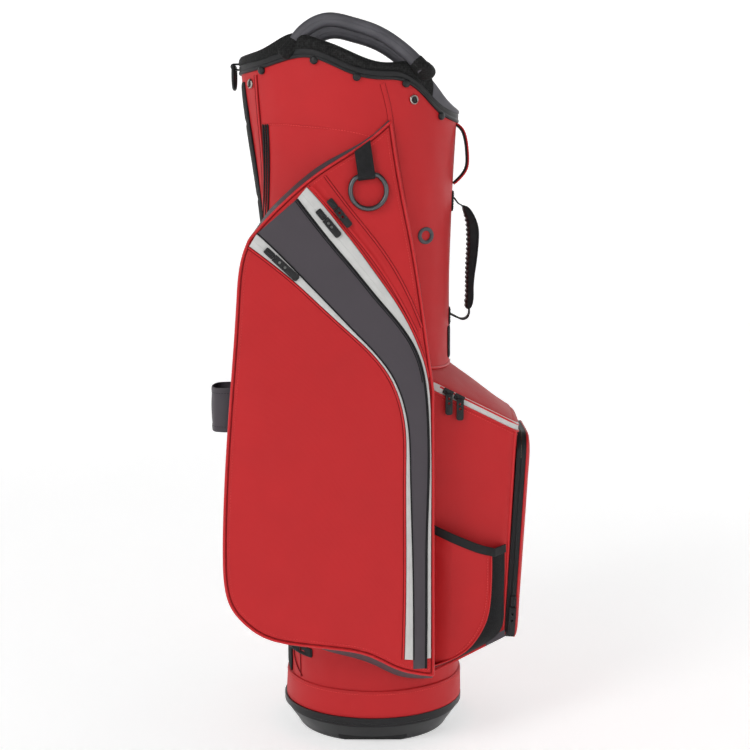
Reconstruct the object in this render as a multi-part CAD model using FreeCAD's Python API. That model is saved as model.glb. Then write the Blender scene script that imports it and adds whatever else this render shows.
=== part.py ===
import FreeCAD, Part
import math
import os

# Cart golf bag, modelled in millimetres.
# Frame: origin at the centre of the base on the floor, +Z up, +X towards the front pockets,
# -Y towards the side that carries the towel ring.

# ---- Driving dimensions -------------------------------------------------------------------

BASE_RADIUS = 117.5
BASE_HEIGHT = 38.0
FOOT_RADIUS = 98.0
NOTCH_WIDTH = 88.0
NOTCH_HEIGHT = 9.0

# Body stations: height, spine side x, front side x, half width along y.
BODY_STATIONS = [
    (0.0, -116.0, 116.0, 115.0),
    (90.0, -111.0, 114.0, 112.0),
    (200.0, -114.0, 108.0, 109.0),
    (340.0, -120.0, 102.0, 107.0),
    (480.0, -129.0, 99.0, 107.0),
    (600.0, -137.0, 99.5, 108.5),
    (700.0, -147.5, 102.5, 111.5),
    (790.0, -160.5, 107.0, 116.5),
    (870.0, -168.5, 111.0, 120.5),
    (930.0, -172.0, 114.0, 122.0),
]
SHELL_THICKNESS = 4.0
CUFF_TOP = 73.0

# Height of the rim along x: it humps beside the lift handles and drops towards the front.
RIM_CURVE = [
    (-200.0, 846.0),
    (-135.0, 852.0),
    (-77.0, 863.0),
    (-27.0, 844.0),
    (10.0, 837.0),
    (33.0, 836.0),
    (58.0, 822.0),
    (84.0, 797.0),
    (110.0, 787.0),
    (150.0, 784.0),
]
BINDING_HEIGHT = 11.0
COLLAR_TOP = [
    (-200.0, 864.0),
    (-162.0, 871.0),
    (-136.0, 877.0),
    (-97.0, 893.0),
    (-73.0, 888.0),
    (-39.0, 876.0),
    (21.0, 858.0),
    (60.0, 858.0),
    (80.0, 835.0),
    (110.0, 812.0),
    (150.0, 806.0),
]
GRIP_TOP = [
    (-200.0, 905.0),
    (-77.0, 900.0),
    (20.0, 880.0),
    (60.0, 852.0),
    (75.0, 838.0),
    (92.0, 817.0),
    (104.0, 807.0),
    (150.0, 803.0),
]
COLLAR_END = 73.0

HANDLE_PLANE = 99.0
HANDLE_HEIGHT = 17.0
HANDLE_WIDTH = 23.0

DIVIDER_DEPTH = 26.0
DIVIDER_WALL = 3.0
SLEEVE_WALL = 1.2
CROSS_WALLS = (-112.0, -62.0, -12.0, 38.0)
SIDE_WALL = 36.0
SLEEVE_TAPER = 0.78
SLEEVE_BOTTOM = 39.0

# The side pocket's face is a plane: y = FACE_AT_ORIGIN + FACE_SLOPE_X * x + FACE_SLOPE_Z * z.
FACE_AT_ORIGIN = -186.7
FACE_SLOPE_X = 0.108
FACE_SLOPE_Z = 0.0883
POCKET_BACK = -45.0

ZIP_THICKNESS = 1.2
SLIDER_SIZE = (13.0, 9.0, 4.0)
PULL_WIDTH = 9.0
PULL_THICKNESS = 2.4
LONG_PULL = 39.0
SHORT_PULL = 27.0
PULL_GAP = 0.8
PULL_LIFT = 0.5

FRONT_WALL = 4.0
FRONT_JOIN = (72.0, -98.0)
FRONT_CORNER_Y = 80.0
FRONT_CORNER_RADIUS = 16.0
FRONT_LOW = (85.0, 168.0)
FRONT_HIGH = (500.0, 189.0)
ZIP_LINE_START = (85.0, 454.5)
ZIP_LINE_SLOPE = -0.515
ZIP_GAP = 8.0
LID_HINGE_X = 108.0
LID_THICKNESS = 5.0
LID_SLIDERS = (94.0, 108.0)

# Ball pocket: a leaning front panel on a slightly wider zip gusset.
BALL_BOTTOM = 128.0
BALL_TOP = 394.0
BALL_FRONT_LOW = 186.5
BALL_FRONT_HIGH = 201.0
BALL_HALF_LOW = 66.0
BALL_HALF_HIGH = 70.0
BALL_PANEL = 4.0
BALL_GUSSET_PROUD = 1.5
BALL_TOP_RADIUS = 28.0

# ---- Helpers ------------------------------------------------------------------------------


def vec(x, y, z):
    return FreeCAD.Vector(x, y, z)


def save(name, shape):
    """Writes one sub-part and reports its volume."""
    if not shape.isValid():
        print("NOT VALID:", name)
    shape.exportStep("parts/" + name + ".step")
    print(f"{name:22s} solids {len(shape.Solids):3d}  volume {shape.Volume / 1000.0:9.2f} cm3")


def box(low, high):
    size = [b - a for a, b in zip(low, high)]
    return Part.makeBox(size[0], size[1], size[2], vec(*low))


def both_sides(shape):
    """The shape and its mirror image across the bag's middle plane."""
    return Part.makeCompound([shape, mirrored(shape)])


def mirrored(shape):
    return shape.mirror(vec(0, 0, 0), vec(0, 1, 0))


def spline(points):
    curve = Part.BSplineCurve()
    curve.interpolate([vec(*p) for p in points])
    return curve.toShape()


def line(a, b):
    return Part.LineSegment(vec(*a), vec(*b)).toShape()


def ribbon_xz(lower, upper, y_low=-260.0, y_high=260.0):
    """Solid between two curves of (x, z) points, as wide as the bag along y."""
    low = [(x, y_low, z) for x, z in lower]
    high = [(x, y_low, z) for x, z in upper]
    edges = [spline(low), line(low[-1], high[-1]), spline(high), line(high[0], low[0])]
    return Part.Face(Part.Wire(Part.__sortEdges__(edges))).extrude(vec(0, y_high - y_low, 0))


def polygon_xz(points, y_low=-260.0, y_high=260.0):
    """Prism along y over a closed outline of (x, z) points."""
    corners = [vec(x, y_low, z) for x, z in points]
    wire = Part.makePolygon(corners + corners[:1])
    return Part.Face(wire).extrude(vec(0, y_high - y_low, 0))


def raised(curve, height):
    return [(x, z + height) for x, z in curve]


def level_line(z):
    """Straight curve at one height, as long as the rim curve."""
    return [(RIM_CURVE[0][0], z), (0.0, z), (RIM_CURVE[-1][0], z)]


def tangent_path(points, radius):
    """Straight runs through the points, joined by tangent arcs of one radius."""
    points = [vec(*p) for p in points]
    edges = []
    start = points[0]
    for before, corner, after in zip(points, points[1:], points[2:]):
        back = (before - corner).normalize()
        ahead = (after - corner).normalize()
        half_angle = back.getAngle(ahead) / 2.0
        trim = radius / math.tan(half_angle)
        arc_start = corner + back * trim
        arc_end = corner + ahead * trim
        centre = corner + (back + ahead).normalize() * (radius / math.sin(half_angle))
        middle = centre + (corner - centre).normalize() * radius
        edges.append(Part.LineSegment(start, arc_start).toShape())
        edges.append(Part.Arc(arc_start, middle, arc_end).toShape())
        start = arc_end
    edges.append(Part.LineSegment(start, points[-1]).toShape())
    return Part.Wire(edges)


def sweep(path, section):
    return Part.Wire(path).makePipeShell([section], True, True)


def band_along_xz(points, radius, width, thickness, y=0.0):
    """Flat webbing whose path lies in the x-z plane, with its width along y."""
    path = tangent_path([(x, y, z) for x, z in points], radius)
    start = vec(points[0][0], y, points[0][1])
    ahead = vec(points[1][0] - points[0][0], 0, points[1][1] - points[0][1]).normalize()
    across = vec(0, 1, 0)
    out = ahead.cross(across)
    corners = []
    for a, b in ((-1, -1), (1, -1), (1, 1), (-1, 1)):
        corners.append(start + across * (a * width / 2.0) + out * (b * thickness / 2.0))
    return sweep(path, Part.makePolygon(corners + corners[:1]))


# ---- Body ---------------------------------------------------------------------------------


def body_section(z):
    """Centre x, half length along x and half width along y of the body at a height."""
    below = BODY_STATIONS[0]
    for above in BODY_STATIONS[1:]:
        if z <= above[0]:
            break
        below = above
    t = (z - below[0]) / (above[0] - below[0])
    spine, front, half_y = (a + t * (b - a) for a, b in zip(below[1:], above[1:]))
    return (spine + front) / 2.0, (front - spine) / 2.0, half_y


def body_surface(x, z):
    """Point on the -Y side of the body at a given x and height, and the outward normal there."""
    centre, half_x, half_y = body_section(z)
    across = (x - centre) / half_x
    y = -half_y * math.sqrt(1.0 - across * across)
    normal = vec((x - centre) / half_x ** 2, y / half_y ** 2, 0).normalize()
    return vec(x, y, z), normal


def body_solid(offset):
    """Solid inside the body's outer surface, grown or shrunk by an offset."""
    wires = []
    for z, spine, front, half_y in BODY_STATIONS:
        centre = vec((spine + front) / 2.0, 0, z)
        half_x = (front - spine) / 2.0
        wires.append(Part.Wire(Part.Ellipse(centre, half_x + offset, half_y + offset).toShape()))
    return Part.makeLoft(wires, True, False)


def body_tube(outer, inner):
    return body_solid(outer).cut(body_solid(inner))


def make_base_boot():
    """Moulded boot: a shallow cup with a stepped wall, a foot ring and a centre pad."""
    outline = [
        (0.0, 5.0),
        (80.0, 5.0),
        (80.0, 0.0),
        (FOOT_RADIUS - 2.0, 0.0),
        (FOOT_RADIUS, 2.0),
        (FOOT_RADIUS + 3.0, 7.0),
        (BASE_RADIUS - 4.0, 25.0),
        (BASE_RADIUS - 4.0, 28.0),
        (BASE_RADIUS, 30.0),
        (BASE_RADIUS, BASE_HEIGHT),
        (BASE_RADIUS - 9.0, BASE_HEIGHT),
        (BASE_RADIUS - 9.0, 22.0),
        (FOOT_RADIUS - 4.0, 10.0),
        (0.0, 10.0),
    ]
    corners = [vec(r, 0, z) for r, z in outline]
    cup = Part.Face(Part.makePolygon(corners + corners[:1])).revolve(vec(0, 0, 0), vec(0, 0, 1), 360)
    notch = box((-NOTCH_WIDTH / 2.0, FOOT_RADIUS - 9.0, -1.0), (NOTCH_WIDTH / 2.0, 130.0, NOTCH_HEIGHT))
    centre_pad = Part.makeCylinder(14.0, 5.0)
    return cup.cut(notch).cut(mirrored(notch)).fuse(centre_pad).removeSplitter()


def make_floor_liner():
    return Part.makeCylinder(FOOT_RADIUS - 6.0, 3.0, vec(0, 0, 10.0))


def make_body_shell():
    """Coated fabric body with its foam backing, open at the top."""
    return body_tube(0.0, -SHELL_THICKNESS).common(ribbon_xz(level_line(BASE_HEIGHT), RIM_CURVE))


def make_base_cuff():
    """Reinforcing band of the same fabric round the bottom of the body."""
    ring = box((-200, -200, BASE_HEIGHT), (200, 200, CUFF_TOP))
    return body_tube(1.6, 0.0).common(ring)


def make_spine_panel():
    """Padded strip down the spine, which lies against the cart."""
    strip = box((-260.0, -34.0, CUFF_TOP + 2.0), (-60.0, 34.0, 838.0))
    return body_tube(2.6, 0.0).common(strip)


def make_rim_binding():
    return body_tube(2.0, -5.0).common(ribbon_xz(RIM_CURVE, raised(RIM_CURVE, BINDING_HEIGHT)))


def make_collar(handles):
    """Padded mesh collar on top of the binding, round the back and sides of the mouth."""
    pad = body_tube(1.6, -9.0).common(ribbon_xz(raised(RIM_CURVE, BINDING_HEIGHT), COLLAR_TOP))
    pad = pad.common(box((-260, -200, 800), (COLLAR_END, 200, 930)))
    return pad.cut(handles)


def make_front_grip():
    """Moulded grip that carries the rim round the front of the mouth."""
    grip = body_tube(2.4, -12.0).common(ribbon_xz(raised(RIM_CURVE, BINDING_HEIGHT), GRIP_TOP))
    return grip.common(box((COLLAR_END, -200, 780), (200, 200, 860)))


def make_lift_handle():
    """Arched handle over the -Y rim, with its ends inside the collar."""
    y = -HANDLE_PLANE
    points = [(-103.0, y, 872.0), (-62.0, y, 914.0), (8.0, y, 896.0), (62.0, y, 850.0)]
    path = tangent_path(points, 30.0)
    ahead = vec(41.0, 0, 42.0).normalize()
    out = ahead.cross(vec(0, 1, 0))
    profile = Part.Ellipse(
        vec(*points[0]) + vec(0, 1, 0) * (HANDLE_WIDTH / 2.0),
        vec(*points[0]) + out * (HANDLE_HEIGHT / 2.0),
        vec(*points[0]),
    )
    return sweep(path, Part.Wire(profile.toShape()))


def divider_walls(thickness, x_at, side_at, region):
    """Separate walls of the fourteen-cell grid: four across the bag, then short ones between them."""
    crosses = [wall_across(x_at, x, thickness) for x in CROSS_WALLS]
    solids = [wall.common(region) for wall in crosses]
    edges = [-260.0, *CROSS_WALLS, 260.0]
    for row, (back, front) in enumerate(zip(edges, edges[1:])):
        is_front_row = row == len(CROSS_WALLS)
        for side in (0.0,) if is_front_row else (-SIDE_WALL, SIDE_WALL):
            wall = wall_along(side_at, side, thickness)
            span = between(x_at, back, front)
            piece = wall.common(span).common(region)
            for cross in crosses:
                piece = piece.cut(cross)
            solids.append(piece)
    return Part.makeCompound([s for shape in solids for s in shape.Solids])


def wall_across(x_at, x, thickness):
    low, high = x_at(x, 0.0), x_at(x, 900.0)
    half = thickness / 2.0
    return polygon_xz([(low - half, 0.0), (low + half, 0.0), (high + half, 900.0), (high - half, 900.0)])


def wall_along(side_at, side, thickness):
    low, high = side_at(side, 0.0), side_at(side, 900.0)
    half = thickness / 2.0
    corners = [(low - half, 0.0), (low + half, 0.0), (high + half, 900.0), (high - half, 900.0)]
    points = [vec(-260.0, y, z) for y, z in corners]
    return Part.Face(Part.makePolygon(points + points[:1])).extrude(vec(520.0, 0, 0))


def between(x_at, back, front):
    corners = [(x_at(back, 0.0), 0.0), (x_at(front, 0.0), 0.0)]
    corners += [(x_at(front, 900.0), 900.0), (x_at(back, 900.0), 900.0)]
    return polygon_xz(corners)


def tapered(value, z, pivot=0.0):
    """Place of a full-length divider at a height: it closes in towards the base."""
    share = SLEEVE_TAPER + (1.0 - SLEEVE_TAPER) * min(z, 900.0) / 900.0
    return pivot * (1.0 - share) + value * share


def make_top_divider():
    """Moulded fourteen-cell grid in the mouth."""
    top = raised(RIM_CURVE, BINDING_HEIGHT - 3.0)
    region = body_solid(-SHELL_THICKNESS - 1.3).common(ribbon_xz(raised(top, -DIVIDER_DEPTH), top))
    grip_room = box((COLLAR_END + 10.0, -200, 700), (260, 200, 900))
    region = region.cut(grip_room)
    return divider_walls(DIVIDER_WALL, tapered, tapered, region)


def make_divider_sleeves():
    """Full-length fabric dividers below the moulded grid."""
    top = raised(RIM_CURVE, BINDING_HEIGHT - 3.0 - DIVIDER_DEPTH)
    region = body_solid(-SHELL_THICKNESS - 1.3).common(ribbon_xz(level_line(SLEEVE_BOTTOM), top))
    region = region.cut(box((COLLAR_END + 10.0, -200, 0), (260, 200, 900)))
    return divider_walls(SLEEVE_WALL, tapered, tapered, region)


def make_stays():
    """Four rods that hold the body up between the floor and the mouth grid."""
    rods = []
    for x_top, x_bottom, y_top in ((-87.0, -58.0, 88.0), (13.0, 12.0, 92.0)):
        for side in (-1.0, 1.0):
            start = vec(x_bottom, side * 86.0 * (1.0 if x_bottom > 0 else 0.82), 14.0)
            end = vec(x_top, side * y_top, 800.0)
            rods.append(Part.makeCylinder(3.0, (end - start).Length, start, end - start))
    return Part.makeCompound(rods)


# ---- Rim hardware -------------------------------------------------------------------------


def stud(x, z, radius, height, sunk, trim):
    """Round head standing on the -Y surface, with a chamfered edge, trimmed to sit on its backing."""
    point, normal = body_surface(x, z)
    head = Part.makeCylinder(radius, height + sunk, point - normal * sunk, normal)
    head = head.makeChamfer(1.2, [e for e in head.Edges if is_outer_circle(e, point, normal, height)])
    for piece in trim:
        head = head.cut(piece)
    return head


def is_outer_circle(edge, point, normal, height):
    centre = getattr(edge.Curve, "Center", None)
    return centre is not None and (centre - point).dot(normal) > height - 0.1


def make_rim_rivets(trim):
    heads = [stud(x, z, 5.0, 4.6, 1.0, trim) for x, z in
             ((-135.0, 850.0), (-70.0, 860.0), (-19.0, 840.0), (40.0, 833.0), (84.0, 795.0))]
    return Part.makeCompound([s for head in heads for s in both_sides(head).Solids])


def make_hood_studs(trim):
    heads = [stud(x, z, 6.0, 3.4, 1.0, trim) for x, z in ((-150.0, 834.0), (50.0, 813.0))]
    return Part.makeCompound([s for head in heads for s in both_sides(head).Solids])


def d_ring(centre, width, wire, bar_drop, plane_x, plane_up):
    """Rounded D-ring in the plane of two unit vectors, with a straight bar across its top."""
    out = plane_x.cross(plane_up)
    torus = Part.makeTorus(width / 2.0 - wire, wire, centre, out)
    top = centre + plane_up * bar_drop
    half = math.sqrt((width / 2.0 - wire) ** 2 - bar_drop ** 2)
    bar = Part.makeCylinder(wire, half * 2.0, top - plane_x * half, plane_x)
    above = Part.makeBox(width * 2.0, width * 2.0, wire * 8.0)
    placement = FreeCAD.Matrix(
        plane_x.x, plane_up.x, out.x, 0,
        plane_x.y, plane_up.y, out.y, 0,
        plane_x.z, plane_up.z, out.z, 0,
        0, 0, 0, 1,
    )
    above = above.transformGeometry(placement)
    above.translate(top - plane_x * width - out * (wire * 4.0))
    return torus.cut(above).fuse(bar).removeSplitter()


# ---- Side pockets -------------------------------------------------------------------------

FACE_NORMAL = vec(FACE_SLOPE_X, -1.0, FACE_SLOPE_Z).normalize()

TIP = (22.0, 787.0)
LEFT_TOP = (-148.0, 646.0)
RIGHT_TOP = (74.0, 463.0)
RIGHT_BOTTOM = (75.0, 112.0)
DIAGONAL_EDGE = [TIP, (-1.0, 768.0), (-61.0, 731.0), (-99.0, 700.0), (-138.5, 659.0), LEFT_TOP]
LEFT_EDGE = [LEFT_TOP, (-153.5, 632.0), (-162.0, 572.0), (-170.5, 455.0), (-178.0, 334.0),
             (-179.5, 262.0), (-177.0, 225.0), (-170.0, 203.0), (-157.0, 186.0), (-134.0, 168.0),
             (-88.0, 155.0), (-40.0, 148.0), (-3.0, 139.0), (31.0, 122.0), RIGHT_BOTTOM]
BODY_SEAM = [RIGHT_TOP, (64.0, 536.0), (48.0, 640.0), (33.0, 715.0), TIP]

# Curves across the pocket's face, from the diagonal edge down to the hem.
LOWER_ZIP_LEFT = [(-148.0, 638.5), (-91.0, 593.0), (-60.0, 564.0), (-28.5, 535.0), (2.0, 505.5),
                  (23.0, 476.0), (34.5, 446.5), (40.0, 417.0), (41.0, 373.0), (41.0, 236.0), (39.0, 134.0)]
LOWER_ZIP_RIGHT = [(-139.0, 653.5), (-125.5, 641.0), (-78.0, 593.0), (-50.0, 564.0), (-22.5, 535.0),
                   (5.5, 505.5), (26.0, 476.0), (37.5, 446.5), (43.3, 417.0), (45.5, 373.0),
                   (49.0, 236.0), (49.7, 133.0)]
BAND_RIGHT = [(-91.0, 694.5), (-45.0, 636.0), (-20.5, 607.0), (3.0, 578.0), (28.0, 548.5),
              (48.5, 519.0), (60.0, 490.0), (65.0, 461.0), (68.0, 417.0), (68.5, 358.0), (66.5, 294.5),
              (66.0, 206.0), (65.5, 122.0)]
MIDDLE_ZIP_RIGHT = [(-79.0, 709.0), (-64.0, 692.5), (-41.5, 664.5), (-19.0, 636.0), (2.0, 607.0),
                    (22.5, 578.0), (40.5, 548.5), (54.5, 519.0), (64.5, 490.0), (69.5, 461.0),
                    (71.5, 417.0), (72.3, 358.0), (72.0, 294.5), (72.0, 206.0), (72.0, 134.0)]
UPPER_ZIP_LEFT = [(-73.0, 711.0), (-56.0, 688.5), (-31.0, 657.0), (4.0, 611.0), (38.0, 561.0)]
UPPER_ZIP_RIGHT = [(-64.0, 719.5), (-48.0, 697.0), (-23.0, 665.0), (12.0, 619.0), (45.0, 569.0)]

# Straight upper stretch of each zip on the face: slider's start and the direction it runs.
ZIP_STARTS = {"lower": (-124.0, 630.0), "middle": (-62.0, 676.0), "upper": (-48.5, 688.5)}
ZIP_ENDS = {"lower": (-52.0, 563.0), "middle": (-33.0, 641.0), "upper": (-23.0, 656.0)}
PULL_LENGTHS = {"lower": LONG_PULL, "middle": SHORT_PULL, "upper": SHORT_PULL}


def on_face(point, lift=0.0):
    x, z = point
    place = vec(x, FACE_AT_ORIGIN + FACE_SLOPE_X * x + FACE_SLOPE_Z * z, z)
    return place + FACE_NORMAL * lift


def face_spline(points, lift=0.0):
    return spline([tuple(on_face(p, lift)) for p in points])


def make_side_pocket(core):
    """Large gusseted pocket on the -Y side, tapering to a tip under the rim."""
    right_edge = Part.LineSegment(on_face(RIGHT_BOTTOM), on_face(RIGHT_TOP)).toShape()
    edges = [face_spline(DIAGONAL_EDGE), face_spline(LEFT_EDGE), right_edge, face_spline(BODY_SEAM)]
    prism = Part.Face(Part.Wire(edges)).extrude(vec(0, 200.0, 0))
    prism = prism.common(box((-260, -260, 0), (260, POCKET_BACK, 900)))
    return prism.cut(core)


def strip_on_face(left, right, thickness):
    """Flat strip between two curves on the pocket's face."""
    a = [tuple(on_face(p)) for p in left]
    b = [tuple(on_face(p)) for p in right]
    edges = [spline(a), line(a[-1], b[-1]), spline(b), line(b[0], a[0])]
    return Part.Face(Part.Wire(Part.__sortEdges__(edges))).extrude(FACE_NORMAL * thickness)


def make_face_zips():
    strips = [
        strip_on_face(LOWER_ZIP_LEFT, LOWER_ZIP_RIGHT, ZIP_THICKNESS),
        strip_on_face(BAND_RIGHT, MIDDLE_ZIP_RIGHT, ZIP_THICKNESS),
        strip_on_face(UPPER_ZIP_LEFT, UPPER_ZIP_RIGHT, ZIP_THICKNESS),
    ]
    return Part.makeCompound(strips)


def make_face_band():
    """Contrasting curved panel between the lower and the middle zips."""
    return strip_on_face(LOWER_ZIP_RIGHT, BAND_RIGHT, 1.0)


def oriented(shape, origin, along, out):
    """Moves a shape drawn along +X with +Z outward to a place with its own directions."""
    across = out.cross(along)
    matrix = FreeCAD.Matrix(
        along.x, across.x, out.x, origin.x,
        along.y, across.y, out.y, origin.y,
        along.z, across.z, out.z, origin.z,
        0, 0, 0, 1,
    )
    moved = shape.copy()
    moved.Placement = FreeCAD.Placement(matrix)
    return moved


def slider_shape():
    """Zip slider with a bridge across its middle that holds the pull."""
    length, width, height = SLIDER_SIZE
    body = box((-length / 2.0, -width / 2.0, 0.3), (length / 2.0, width / 2.0, height - 1.5))
    bridge = box((-3.5, -1.5, height - 1.5), (3.5, 1.5, height))
    return body.fuse(bridge).removeSplitter()


def pull_shape(length):
    """Flat pull tab with two holes, and a round knuckle on its hinge axis past the slider's nose."""
    radius = PULL_THICKNESS / 2.0
    half = PULL_WIDTH / 2.0
    hinge = SLIDER_SIZE[0] / 2.0 + PULL_GAP + radius
    end = hinge - radius + length
    plate = box((hinge, -half, PULL_LIFT), (end, half, PULL_LIFT + PULL_THICKNESS))
    plate = plate.makeFillet(3.0, [e for e in plate.Edges if is_upright(e) and e.BoundBox.XMin > end - 0.1])
    knuckle = Part.makeCylinder(radius, PULL_WIDTH, vec(hinge, -half, PULL_LIFT + radius), vec(0, 1, 0))
    tab = plate.fuse(knuckle).removeSplitter()
    for share in (0.24, 0.46):
        hole = Part.makeCylinder(1.7, 10.0, vec(end + length * (share - 1.0), 0, -2.0))
        tab = tab.cut(hole)
    return tab


def is_upright(edge):
    direction = edge.valueAt(edge.LastParameter) - edge.valueAt(edge.FirstParameter)
    return abs(direction.x) < 0.01 and abs(direction.y) < 0.01


def face_direction(name):
    start = on_face(ZIP_STARTS[name])
    end = on_face(ZIP_ENDS[name])
    return start, (end - start).normalize()


def make_face_slider(name):
    start, along = face_direction(name)
    return oriented(slider_shape(), start + FACE_NORMAL * ZIP_THICKNESS, along, FACE_NORMAL)


def make_face_pull(name):
    start, along = face_direction(name)
    return oriented(pull_shape(PULL_LENGTHS[name]), start + FACE_NORMAL * ZIP_THICKNESS, along, FACE_NORMAL)


def make_upper_side_zips():
    """Upright zips beside the spine, one on each side."""
    strip = polygon_xz([(-134.0, 673.0), (-127.0, 673.0), (-127.0, 784.0), (-134.0, 784.0)], -260.0, -20.0)
    return both_sides(body_tube(1.2, 0.0).common(strip))


# ---- Towel ring, strap ring and small patches -----------------------------------------------

RING_TILT = math.radians(8.0)
RING_BAR = (-8.0, 722.0)
RING_OUTER = 50.0
RING_WIRE = 3.0
RING_LIFT = 5.0
RING_DROP = 18.0
RING_TAB_LENGTH = 37.0


def ring_axes():
    """Unit vectors on the pocket's face: along the ring's bar, and up along its tab."""
    origin = on_face((0.0, 0.0))
    up = (on_face((-math.sin(RING_TILT), math.cos(RING_TILT))) - origin).normalize()
    return up.cross(FACE_NORMAL).normalize() * -1.0, up


def make_towel_ring():
    bar_direction, up = ring_axes()
    centre = on_face(RING_BAR, RING_LIFT) - up * RING_DROP
    return d_ring(centre, RING_OUTER, RING_WIRE, RING_DROP, bar_direction, up)


def make_towel_tab(body_pieces):
    """Webbing folded round the ring's bar and sewn down at the pocket's upper edge."""
    bar_direction, up = ring_axes()
    bar = on_face(RING_BAR, RING_LIFT)
    length, width, gap = RING_TAB_LENGTH, 21.0, RING_WIRE + 0.4
    loop = Part.makeCylinder(gap + 1.5, width, bar - bar_direction * (width / 2.0), bar_direction)
    leg = oriented(box((0, -width / 2.0, -gap - 1.5), (length, width / 2.0, gap + 1.5)), bar, up, FACE_NORMAL)
    hole = Part.makeCylinder(gap, width * 2.0, bar - bar_direction * width, bar_direction)
    slot = oriented(box((0, -width, -gap), (6.0, width, gap)), bar, up, FACE_NORMAL)
    tab = loop.fuse(leg).cut(hole).cut(slot)
    for piece in body_pieces:
        tab = tab.cut(piece)
    return Part.makeCompound([max(tab.Solids, key=lambda s: s.Volume)])


STRAP_RING_PIVOT = (-176.0, 858.0)
STRAP_RING_OUTER = 38.0
STRAP_RING_WIRE = 2.2
STRAP_RING_DROP = 11.0


def make_strap_ring():
    """D-ring that hangs from the spine side of the rim."""
    centre = vec(STRAP_RING_PIVOT[0], 0, STRAP_RING_PIVOT[1] - STRAP_RING_DROP)
    return d_ring(centre, STRAP_RING_OUTER, STRAP_RING_WIRE, STRAP_RING_DROP, vec(0, 1, 0), vec(0, 0, 1))


def make_strap_tab(trim):
    """Webbing loop that carries the strap ring."""
    x, z = STRAP_RING_PIVOT
    outer = Part.makeCylinder(4.2, 20.0, vec(x, -10.0, z), vec(0, 1, 0))
    leg = box((x, -10.0, z - 4.2), (-158.0, 10.0, z + 4.2))
    hole = Part.makeCylinder(2.6, 60.0, vec(x, -30.0, z), vec(0, 1, 0))
    tab = outer.fuse(leg).cut(hole)
    for piece in trim:
        tab = tab.cut(piece)
    return Part.makeCompound([max(tab.Solids, key=lambda s: s.Volume)])


def make_ring_patch():
    """Small moulded ring on the front panel."""
    point, normal = body_surface(65.7, 648.0)
    outer = Part.makeCylinder(10.5, 3.0, point - normal * 1.0, normal)
    inner = Part.makeCylinder(6.5, 8.0, point - normal * 3.0, normal)
    return outer.cut(inner).cut(body_solid(0.0))


def make_glove_patch():
    patch = box((60.0, -24.0, 488.0), (160.0, 24.0, 529.0))
    return body_tube(1.6, 0.0).common(patch)


def make_lower_tab():
    """Sewn tab low on the spine side of the body, under each side pocket."""
    patch = polygon_xz([(-102.5, 118.0), (-77.0, 118.0), (-77.0, 106.0), (-102.5, 106.0)], -260.0, -20.0)
    return both_sides(body_tube(1.4, 0.0).common(patch))


def make_umbrella_sleeve(pocket):
    """Open sleeve behind the -Y pocket for the shaft of an umbrella."""
    outer = rounded_slab(-201.0, -150.0, -112.0, -52.0, 14.0, 406.0, 461.0)
    inner = rounded_slab(-198.0, -140.0, -109.0, -55.0, 11.0, 396.0, 471.0)
    return outer.cut(inner).cut(pocket).cut(box((-174.0, -260, 300), (0, 0, 500)))


def rounded_slab(x_low, x_high, y_low, y_high, radius, z_low, z_high):
    """Upright block with all four upright edges rounded."""
    block = box((x_low, y_low, z_low), (x_high, y_high, z_high))
    return block.makeFillet(radius, [e for e in block.Edges if is_upright(e)])


# ---- Front of the bag -----------------------------------------------------------------------


def front_plan(front_x, z, inset=0.0):
    """Closed plan outline of the front pocket at one height."""
    join_x, join_y = FRONT_JOIN
    radius = FRONT_CORNER_RADIUS
    side = FRONT_CORNER_Y - inset
    front = front_x - inset
    turn = radius * (1.0 - math.sqrt(0.5))
    near = [vec(40.0, join_y + inset, z), vec(join_x, join_y + inset, z), vec(front - radius, -side, z)]
    far = [vec(p.x, -p.y, z) for p in reversed(near)]
    corner_low = Part.Arc(near[2], vec(front - turn, -side + turn, z), vec(front, -side + radius, z))
    corner_high = Part.Arc(vec(front, side - radius, z), vec(front - turn, side - turn, z), far[0])
    edges = [
        Part.LineSegment(near[0], near[1]),
        Part.LineSegment(near[1], near[2]),
        corner_low,
        Part.LineSegment(vec(front, -side + radius, z), vec(front, side - radius, z)),
        corner_high,
        Part.LineSegment(far[0], far[1]),
        Part.LineSegment(far[1], far[2]),
        Part.LineSegment(far[2], near[0]),
    ]
    return Part.Wire([e.toShape() for e in edges])


def front_block(inset):
    wires = [front_plan(x, z, inset) for z, x in (FRONT_LOW, FRONT_HIGH)]
    return Part.makeLoft(wires, True, True)


def zip_height(x):
    return ZIP_LINE_START[1] + ZIP_LINE_SLOPE * (x - ZIP_LINE_START[0])


def under_line(offset):
    """Everything below the slanted zip line, raised by an offset."""
    return polygon_xz([(0, 0), (300, 0), (300, zip_height(300) + offset), (0, zip_height(0) + offset)])


def above_floor(offset):
    """Everything above the pocket's slanted underside, raised by an offset."""
    return polygon_xz([(0, 58 + offset), (300, 193.5 + offset), (300, 900), (0, 900)])


def make_front_pocket(core, pockets):
    """Open box that the lid closes, with the body as its back wall."""
    outer = front_block(0.0).common(above_floor(0.0))
    inner = front_block(FRONT_WALL).common(above_floor(FRONT_WALL))
    shell = outer.cut(inner).common(under_line(0.0)).cut(core)
    for pocket in pockets:
        shell = shell.cut(pocket)
    return Part.makeCompound([max(shell.Solids, key=lambda s: s.Volume)])


def make_lid_zip(core):
    """Zip round three sides of the front pocket's opening."""
    ring = front_block(0.0).cut(front_block(2.0))
    ring = ring.common(under_line(ZIP_GAP)).cut(under_line(0.0)).cut(core)
    ring = ring.common(box((LID_HINGE_X - 30.0, -200, 0), (300, 200, 900)))
    return Part.makeCompound(ring.Solids)


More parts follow.
